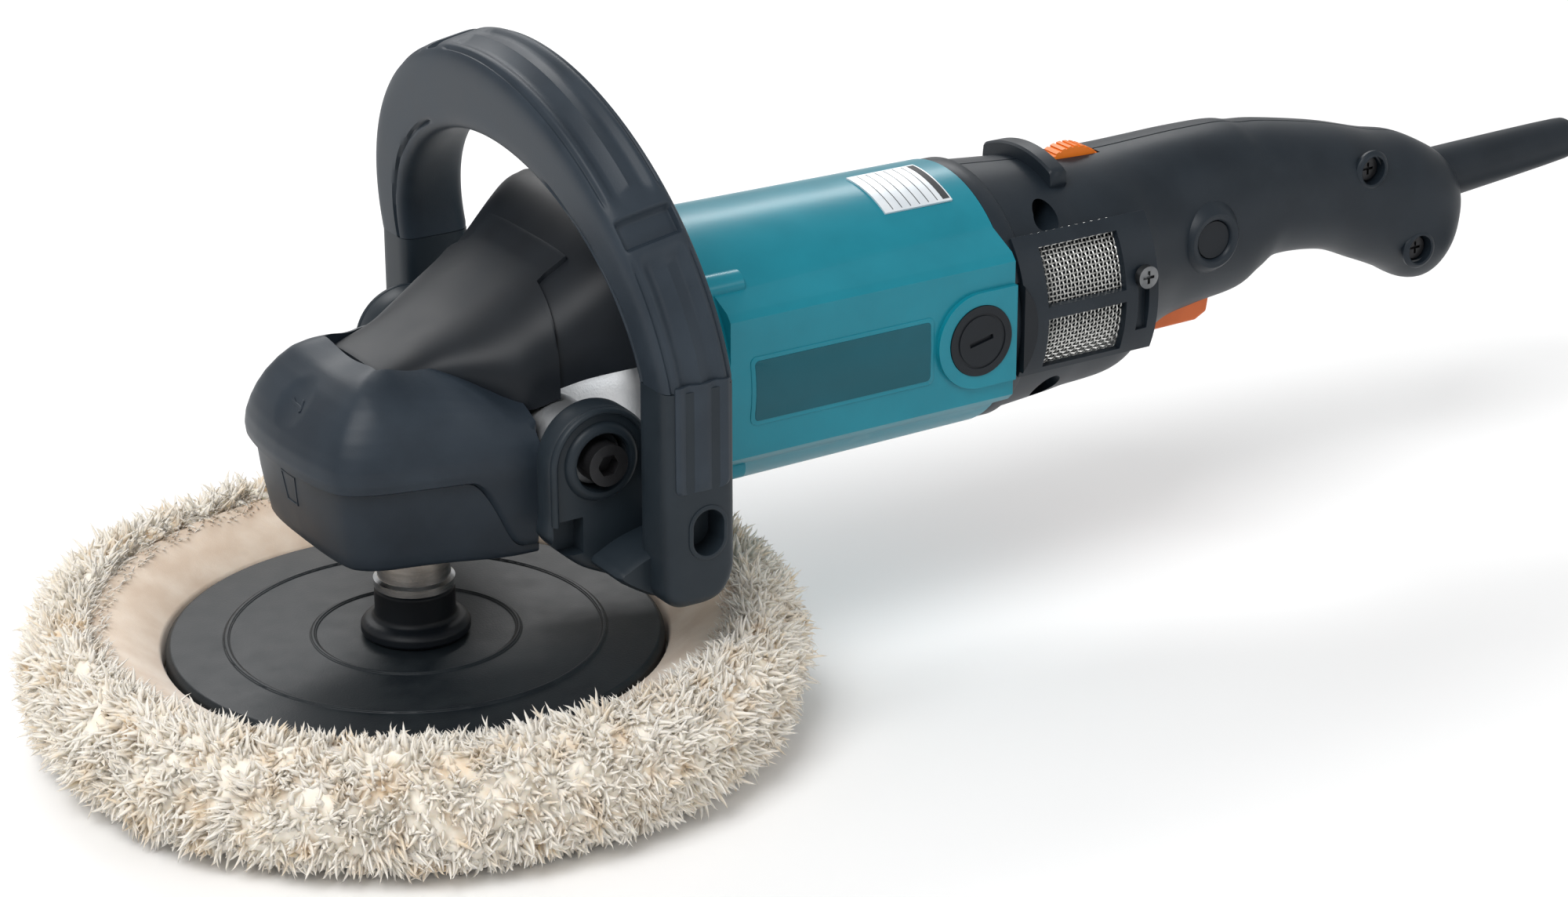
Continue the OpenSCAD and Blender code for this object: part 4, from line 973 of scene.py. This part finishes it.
foot_curve = [(61, 70.5), (60.2, 65.7), (57.8, 62.1), (54, 59.7), (49, 58.7)]
rim = [(31 + 17 * math.cos(a), 99.5 + 17 * math.sin(a)) for a in np.radians(np.linspace(180, 0, 15))]
plate_line = dense(
    [(14, 84), (14, 92)] + rim + [(50, 94), (58, 84)] + foot_curve + [
        (43, 59.2), (38, 60.2), (31, 63.2), (24, 67), (17, 73), (13.4, 77.4), (13.2, 79.4)
    ],
    150
)
arm_line = dense(
    [
        (28, 70), (27, 68.4), (29, 66), (38, 60.4), (43, 59.2)
    ] + foot_curve[::-1] + [(60.5, 74), (56, 77), (46, 76), (36, 73.6)],
    90
)
for side, tag in SIDES:
    plate = slab(
        plate_line, ((54, 0.8), (54.5, 0.2), (55.2, 0), (61.2, 0), (62.1, 0.35), (62.7, 1.0), (63, 2.0)), side,
        "bolt_plate_" + tag
    )
    carve(
        plate, post(31, 99.5, 8.8, side * 58, side * 80), post(31, 99.5, 4.4, side * 40, side * 80),
        block(14.6, side * 57, 71.5, 24.6, side * 80, 83)
    )
    slab(arm_line, ((54.4, 3), (54.6, 1), (55.4, 0), (78, 0), (80, 1)), side, "loop_arm_" + tag)
    rings = []
    for z in np.concatenate([
        58.5 + 14 * (1 - np.cos(np.linspace(0.02, math.pi / 2, 22))), np.linspace(74, 126.6, 24), [126.9, 127]
    ]):
        rear = 49.5 + math.sqrt(max(0.0, 144 - max(0.0, 70.5 - z) ** 2))
        front = 43.5 - math.sqrt(max(0.0, 36 - max(0.0, 64.5 - z) ** 2))
        half_y = 5.25 + math.sqrt(max(0.0, 16 - max(0.0, 62.5 - z) ** 2)) - (0.5 if z > 126.95 else 0)
        ring = []
        for i in range(72):
            t = math.tau * i / 72
            u = bent(math.cos(t), 0.4)
            v = bent(math.sin(t), 0.4)
            ring.append(((rear + front) / 2 + u * (rear - front) / 2, side * (81.25 + v * half_y), z))
        rings.append(ring)
    leg = make(
        "loop_leg_" + tag, *skin(rings), "loop_plastic", stands_for=["loop_frame"] if side < 0 else (), sharp=50
    )
    socket = [
        (51 + 5.2 * math.cos(a), (84 if math.sin(a) > 0 else 80) + 5.2 * math.sin(a))
        for a in np.linspace(0.01, math.tau + 0.01, 40, endpoint=False)
    ]
    carve(
        leg, make("tool", *skin([[(x, side * y, z) for x, z in socket] for y in (82, 99)]), "loop_plastic", body=None)
    )
    lip = []
    for x, z in socket:
        away = np.array([x - 51, z - min(84, max(80, z))])
        away = away / np.linalg.norm(away)
        lip.append([
            (x + away[0] * g, side * y, z + away[1] * g)
            for g, y in ((0.0, 89.6), (0.1, 90.9), (0.7, 91.15), (1.4, 90.8), (1.5, 89.6))
        ])
    make("socket_lip_" + tag, *skin(lip + [lip[0]], capped=False), "loop_plastic", sharp=50)
for side, tag in SIDES:
    rings = []
    for z in np.concatenate([np.linspace(95.5, 98, 6), np.linspace(99, 129, 16)]):
        short = math.sqrt(max(0.0, 1 - ((98 - z) / 2.6) ** 2)) if z < 98 else 1.0
        ring = []
        for share in np.linspace(-1, 1, 41):
            q = share * 9.2 * (0.72 + 0.28 * short)
            trough = dip_at(q, -4.4, 3.4) + dip_at(q, 4.4, 3.4)
            ring.append((
                BEND_X + q,
                side * (
                    HALF + 0.55 - 0.95 * trough * short - 0.5 * (1 - short) - 0.5 * max(0, abs(share) - 0.9) * 10
                ),
                z
            ))
        ring += [(BEND_X + 9.0, side * (HALF - 1.2), z), (BEND_X - 9.0, side * (HALF - 1.2), z)]
        rings.append(ring)
    make("leg_pad_" + tag, *skin(rings), "grip_rubber", sharp=44)
    edge = [
        (31 + 17 * math.cos(math.radians(a)) * 0.93, 99.5 + 17 * math.sin(math.radians(a)) * 0.93)
        for a in range(0, 181, 12)
    ]
    edge = [(46.8, 90)] + edge + [(15.2, 90), (15.2, 82)]
    rim = smooth_path(edge, 60)
    rings = []
    for n, (x, z) in enumerate(rim):
        ahead = rim[min(n + 1, 59)] - rim[max(n - 1, 0)]
        ahead = ahead / np.linalg.norm(ahead)
        rings.append([
            (x + 1.1 * math.cos(a) * ahead[1], side * (63.0 + 1.5 * math.sin(a)), z - 1.1 * math.cos(a) * ahead[0])
            for a in np.linspace(0, math.tau, 14, endpoint=False)
        ])
    make("plate_rim_" + tag, *skin(rings), "loop_plastic")
    collar = [(8.9, 62.4), (8.9, 64.2), (9.3, 64.9), (10.3, 65.1), (11.4, 64.7), (12.2, 63.6), (12.6, 62.4)]
    turned("bolt_collar_" + tag, [(r, side * h) for r, h in collar], "loop_plastic", "y", (31, 0, 99.5))
print("legs, pads, rims and bolt collars made")

# %% [markdown]
# ## The rear handle
# The handle is moulded in two halves that meet on the middle plane. Each half is a loft of
# squarish half rings whose height, width and tilt change along the handle, and its edge dips
# a little at the seam, so the parting line shows as it does on a real moulding. The slots and
# screw wells are cut after, while the halves are still simple.

# %% Two halves of the handle
HANDLE = [
    (
        194.2, 102, 42.6, 42.2, 0, 2
    ), (222, 101.6, 40.4, 39.6, 0, 2), (232, 101.5, 39.4, 38.4, 0, 2), (250, 102, 38, 37, 0, 2.1),
    (262, 105, 35, 31, 0, 2.2), (
        276, 108.6, 31.8, 26.5, 0, 2.3
    ), (292, 110.2, 30.5, 24.4, 0, 2.4), (309, 111, 29.4, 23, 0, 2.4),
    (
        317, 112.4, 26.4, 22.2, 0, 2.4
    ), (328, 114, 23.4, 21.4, 3, 2.4), (352, 110.4, 22, 20.6, 7, 2.4), (371, 104, 23, 20.4, 8, 2.4),
    (
        384, 99.6, 24.4, 20.4, 8, 2.4
    ), (394, 94.6, 24.6, 19.8, 9, 2.4), (401.5, 92, 22.4, 18, 9, 2.4), (408, 91, 16.4, 14, 9, 2.4),
    (411.6, 91, 9, 8, 4, 2.2),
]
handle_line = smooth_path(HANDLE, 130)


def handle_half(side):
    rings = []
    for x, z, tall, wide, tilt, power in handle_line:
        lean = math.radians(tilt)
        ring = [(x + (0.9 - tall) * math.sin(lean), side * 0.04, z + (0.9 - tall) * math.cos(lean))]
        for i in range(49):
            a = -math.pi / 2 + math.pi * i / 48
            u = bent(math.sin(a), 2 / power) * tall
            y = max(0.42, wide * max(0.0, math.cos(a)) ** (2 / power))
            ring.append((x + u * math.sin(lean), side * y, z + u * math.cos(lean)))
        ring.append((x + (tall - 0.9) * math.sin(lean), side * 0.04, z + (tall - 0.9) * math.cos(lean)))
        rings.append(ring)
    return rings


dial_low, dial_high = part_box("speed_dial")
dial_x = 1000 * ((dial_low[0] + dial_high[0]) / 2 - SPINDLE_X)
dial_z = 500 * (dial_low[2] + dial_high[2])
halves = {}
for side, name, node in ((-1, "handle_shell_near", "handle_left"), (1, "handle_shell_far", "handle_right")):
    half = make(name, *skin(handle_half(side)), "handle_plastic", stands_for=[node], sharp=44)
    mouth = [
        [
            tuple(guard_root + guard_way * h + 10.3 * (math.cos(a) * np.array([0, 1, 0]) + math.sin(a) * guard_up))
            for a in np.linspace(0, math.tau, 40, endpoint=False)
        ]
        for h in (-8, 40)
    ]
    tools = [
        post(
            dial_x, dial_z, 15.1, -4.1, 4.1
        ), post(dial_x, dial_z, 2.0, -9.5, 9.5), block(252.8, -9.2, 50, 304.3, 9.2, 96),
        make("tool", *skin(mouth), "handle_plastic", body=None), block(206, side * 24, 88, 240, side * 60, 123),
    ]
    if side < 0:
        tools += [post(x, z, 5.0, -60, -14.2) for x, z in ((361.7, 119), (385.5, 86), (219, 72))]
        tools += [
            post(217, 131, 4.6, -60, -14.2), post(214.4, 130.4, 2.6, -60, -16), post(287.6, 109.7, 6.6, -40, -12)
        ]
    halves[side] = carve(half, *tools)
print("halves carved:", [len(h.data.polygons) for h in halves.values()], "faces")

# %% Rings and rib on the handle
button_ring = [
    (6.7, 21.5), (6.7, 26.0), (7.1, 27.2), (8.0, 27.9), (9.3, 27.9), (10.3, 27.1), (11.3, 25.4), (12.6, 23.6),
    (14.0, 21.0), (13, 20.5)
]
turned("button_ring", [(r, -h) for r, h in button_ring], "handle_plastic", "y", (287.6, 0, 109.7))
for n, (x, z, depth) in enumerate(((361.7, 119, 19.6), (385.5, 86, 19.4))):
    turned(
        "well_lip_" + str(n),
        [
            (5.0, -depth + 1.6), (5.0, -depth - 0.5), (5.5, -depth - 0.9), (6.3, -depth - 0.6), (7.0, -depth + 0.4),
            (6.8, -depth + 1.6)
        ],
        "handle_plastic", "y", (x, 0, z)
    )
rib_rings = []
for a in np.radians(np.linspace(62, 118, 40)):
    r = 40.2
    tall = 4.6 * min(1.0, (a - math.radians(61)) * 14, (math.radians(119) - a) * 14)
    section = [(225, -1.5), (225, tall - 0.7), (225.7, tall), (230.8, tall), (231.5, tall - 0.7), (231.5, -1.5)]
    rib_rings.append([(x, -math.cos(a) * (r + h), 101.6 + math.sin(a) * (r + h)) for x, h in section])
make("top_rib", *skin(rib_rings), "handle_plastic", sharp=40)
front_band = [(42.0, 194.3), (42.9, 194.6), (43.1, 195.2), (43.1, 200.4), (42.7, 201.0), (41.6, 201.4)]
turned("front_band", front_band, "handle_plastic", "x", (0, 0, MOTOR_Z), steps=160)
for side, tag in SIDES:
    arc = [(180 + 22.6 * math.cos(a), 101.5 + 22.6 * math.sin(a)) for a in np.radians(np.linspace(-41, 41, 40))]
    rings = []
    for share, y in ((1, 36), (1, 44.3), (0.985, 44.8), (0.96, 45.0), (0.6, 45.0), (0.05, 45.0)):
        rings.append([(198.5 + (x - 198.5) * share, side * y, 101.5 + (z - 101.5) * share) for x, z in arc])
    make("cover_moon_" + tag, *skin(rings), "black_plastic", sharp=40)
print("rings, rib and cover details added")

# %% [markdown]
# ## Woven dust screens
# Behind each dust cover sits a screen of woven steel wire that keeps wool fluff out of the
# motor. A woven look needs real over and under: every wire waves by its own thickness, and
# neighbours wave the other way. Wires run along the motor and round it, about a millimetre
# apart, as thin four-sided tubes.

# %% Weave the screens
PITCH, WIRE, WAVE, RADIUS = 1.5, 0.29, 0.29, 41.05
for side in (-1, 1):
    points, faces = [], []

    def thread(spots):
        base = len(points)
        for n, p in enumerate(spots):
            ahead = spots[min(n + 1, len(spots) - 1)] - spots[max(n - 1, 0)]
            ahead = ahead / np.linalg.norm(ahead)
            out = np.array([0, p[1], p[2] - MOTOR_Z])
            out = out / np.linalg.norm(out)
            across = np.cross(out, ahead)
            for k in range(4):
                a = math.tau * k / 4
                points.append(tuple(p + WIRE * (math.cos(a) * out + math.sin(a) * across)))
        for n in range(len(spots) - 1):
            for k in range(4):
                faces.append((
                    base + 4 * n + k, base + 4 * n + (k + 1) % 4, base + 4 * n + 4 + (k + 1) % 4, base + 4 * n + 4 + k
                ))
        faces.append((base + 3, base + 2, base + 1, base))
        last = base + 4 * (len(spots) - 1)
        faces.append((last, last + 1, last + 2, last + 3))

    def over_under(i, j):
        return WAVE * (1 if (i // 2 + j // 2) % 2 else -1)

    def on_screen(x, a, r):
        return np.array([x, side * r * math.cos(a), MOTOR_Z + r * math.sin(a)])

    across_steps = np.arange(205.4, 239.8, PITCH / 2)
    around_steps = np.radians(np.arange(-26, 39, math.degrees(PITCH / RADIUS) / 2))
    for j in range(0, len(around_steps), 2):
        a = around_steps[j]
        thread([on_screen(x, a, RADIUS + over_under(i, j) * (1 - i % 2)) for i, x in enumerate(across_steps)])
    for i in range(0, len(across_steps), 2):
        x = across_steps[i]
        thread([on_screen(x, a, RADIUS - over_under(i, j) * (1 - j % 2)) for j, a in enumerate(around_steps)])
    screen = make(
        "woven_screen_" + ("near" if side < 0 else "far"), points, faces, "screen_steel",
        stands_for=["dust_screens"] if side < 0 else (), sharp=60
    )
    print(screen.name, "has", len(faces), "wire faces")

# %% [markdown]
# ## Panels on the motor housing
# Each side of the housing carries a dark blank panel let into the teal, and the top carries a
# silver plate. Makers print names and figures there. Here the panel stays blank, and the
# plate only has plain ruled lines.

# %% Side panels and top plate
def soft_panel(x0, z0, x1, z1, r, steps=6):
    corners = [(x0 + r, z0 + r, 180), (x1 - r, z0 + r, 270), (x1 - r, z1 - r, 0), (x0 + r, z1 - r, 90)]
    line = [
        (x + r * math.cos(math.radians(a + 90 * t / steps)), z + r * math.sin(math.radians(a + 90 * t / steps)))
        for x, z, a in corners
        for t in range(steps + 1)
    ]
    fine = []
    for a, b in zip(line, line[1:] + line[:1]):
        parts = max(1, round(math.dist(a, b) / 2))
        fine += [(a[0] + (b[0] - a[0]) * k / parts, a[1] + (b[1] - a[1]) * k / parts) for k in range(parts)]
    return fine


deep_teal = surface("deep_teal", (0.004, 0.085, 0.115), (0.003, 0.075, 0.1), (0.34, 0.42), grain=0.3, depth=0.05)


def side_skin(x, z):
    """How far the housing's side stands from the middle plane at a place."""
    barrel = 44.5 - (x - 84) / 110
    return max(43.6 if 80 < z < 125 else 0.0, math.sqrt(max(0.0, barrel ** 2 - (z - MOTOR_Z) ** 2)))


for side, tag in SIDES:
    for name, line, inset, rise, finish in (
        ("panel_frame_", soft_panel(95, 90, 163, 112.5, 2.2), 0.45, 0.32, "teal_plastic"),
        ("blank_panel_", soft_panel(96.4, 91.4, 161.6, 111.1, 1.4), 0.3, 0.46, "teal_plastic")
    ):
        middle = (129, 101.25)
        rings = []
        for share, lift in (
            (1.0, -1.2), (1.0, rise - 0.15), (1.0 - inset / 40, rise), (0.85, rise), (0.7, rise), (0.55, rise),
            (0.4, rise), (0.25, rise), (0.1, rise), (0.02, rise)
        ):
            spots = [(middle[0] + (x - middle[0]) * share, middle[1] + (z - middle[1]) * share) for x, z in line]
            rings.append([(x, side * (side_skin(x, z) + lift), z) for x, z in spots])
        panel = make(name + tag, *skin(rings), finish, sharp=30)
    panel.data.materials[0] = deep_teal
plate_rings = []
for x in np.linspace(159.2, 184.8, 3):
    plate_rings.append([
        (x, -r * math.cos(a), MOTOR_Z + r * math.sin(a))
        for r,
        line in ((44.42, np.radians(np.linspace(61.3, 91.7, 16))), (43.7, np.radians(np.linspace(91.7, 61.3, 16))))
        for a in line
    ])
make("top_plate", *skin(plate_rings), "plate_foil", stands_for=["rating_plate"], sharp=30)
header, rules = [(183.0, 2.6)], [(x, 0.3) for x in (179.6, 176.2, 172.8, 169.4, 166, 162.6)]
for n, (x, wide) in enumerate(header + rules):
    rings = []
    for a in np.radians(np.linspace(62.5, 90.5, 14)):
        rings.append([
            (x + s * wide / 2, -r * math.cos(a), MOTOR_Z + r * math.sin(a))
            for s, r in ((-1, 44.3), (-1, 44.46), (1, 44.46), (1, 44.3))
        ])
    make("plate_rule_" + str(n), *skin(rings), "inner_plastic", sharp=30)
print("panels and plate made")

# %% [markdown]
# ## Floor and light
# A pale floor that curves up far behind, a big soft light above and to the left, a weaker one
# on the right and a strip behind give dark rubber its long soft highlights.

# %% Floor
floor_points, floor_faces = [], []
for j, (y, z) in enumerate([(-6, -0.0006), (3.5, -0.0006), (4.6, 0.15), (5.4, 0.8), (5.6, 2.0), (5.6, 5.0)]):
    floor_points += [(-7, y, z), (7, y, z)]
    if j:
        floor_faces.append((2 * j - 2, 2 * j - 1, 2 * j + 1, 2 * j))
floor_mesh = bpy.data.meshes.new("floor")
floor_mesh.from_pydata(floor_points, [], floor_faces)
floor_mesh.shade_smooth()
floor = bpy.data.objects.new("floor", floor_mesh)
bpy.context.scene.collection.objects.link(floor)
floor_mesh.materials.append(
    surface("pale_floor", (0.93, 0.93, 0.93), (0.9, 0.9, 0.9), (0.6, 0.7), drift=400, grain=2, depth=0.02)
)
floor.rotation_euler = (0, 0, math.radians(-32.5))

# %% Light
def lamp(name, place, aim, size, power):
    data = bpy.data.lights.new(name, "AREA")
    data.shape = "RECTANGLE"
    data.size, data.size_y = size
    data.energy = power
    thing = bpy.data.objects.new(name, data)
    thing.location = place
    thing.rotation_euler = (Vector(aim) - Vector(place)).to_track_quat("-Z", "Y").to_euler()
    bpy.context.scene.collection.objects.link(thing)


lamp("key_light", (-1.3, -0.7, 1.9), (0, 0, 0.08), (1.2, 1.2), 36)
lamp("fill_light", (0.9, -1.9, 0.9), (0.05, 0, 0.08), (0.9, 0.6), 5)
lamp("back_strip", (0.5, 1.6, 1.3), (0.05, 0, 0.12), (1.8, 0.4), 20)
world = bpy.data.worlds.new("studio")
world.use_nodes = True
world.node_tree.nodes["Background"].inputs["Color"].default_value = (1, 1, 1, 1)
world.node_tree.nodes["Background"].inputs["Strength"].default_value = 0.55
bpy.context.scene.world = world
bpy.context.scene.view_settings.view_transform = "Standard"
print("floor, three lamps and a white room")
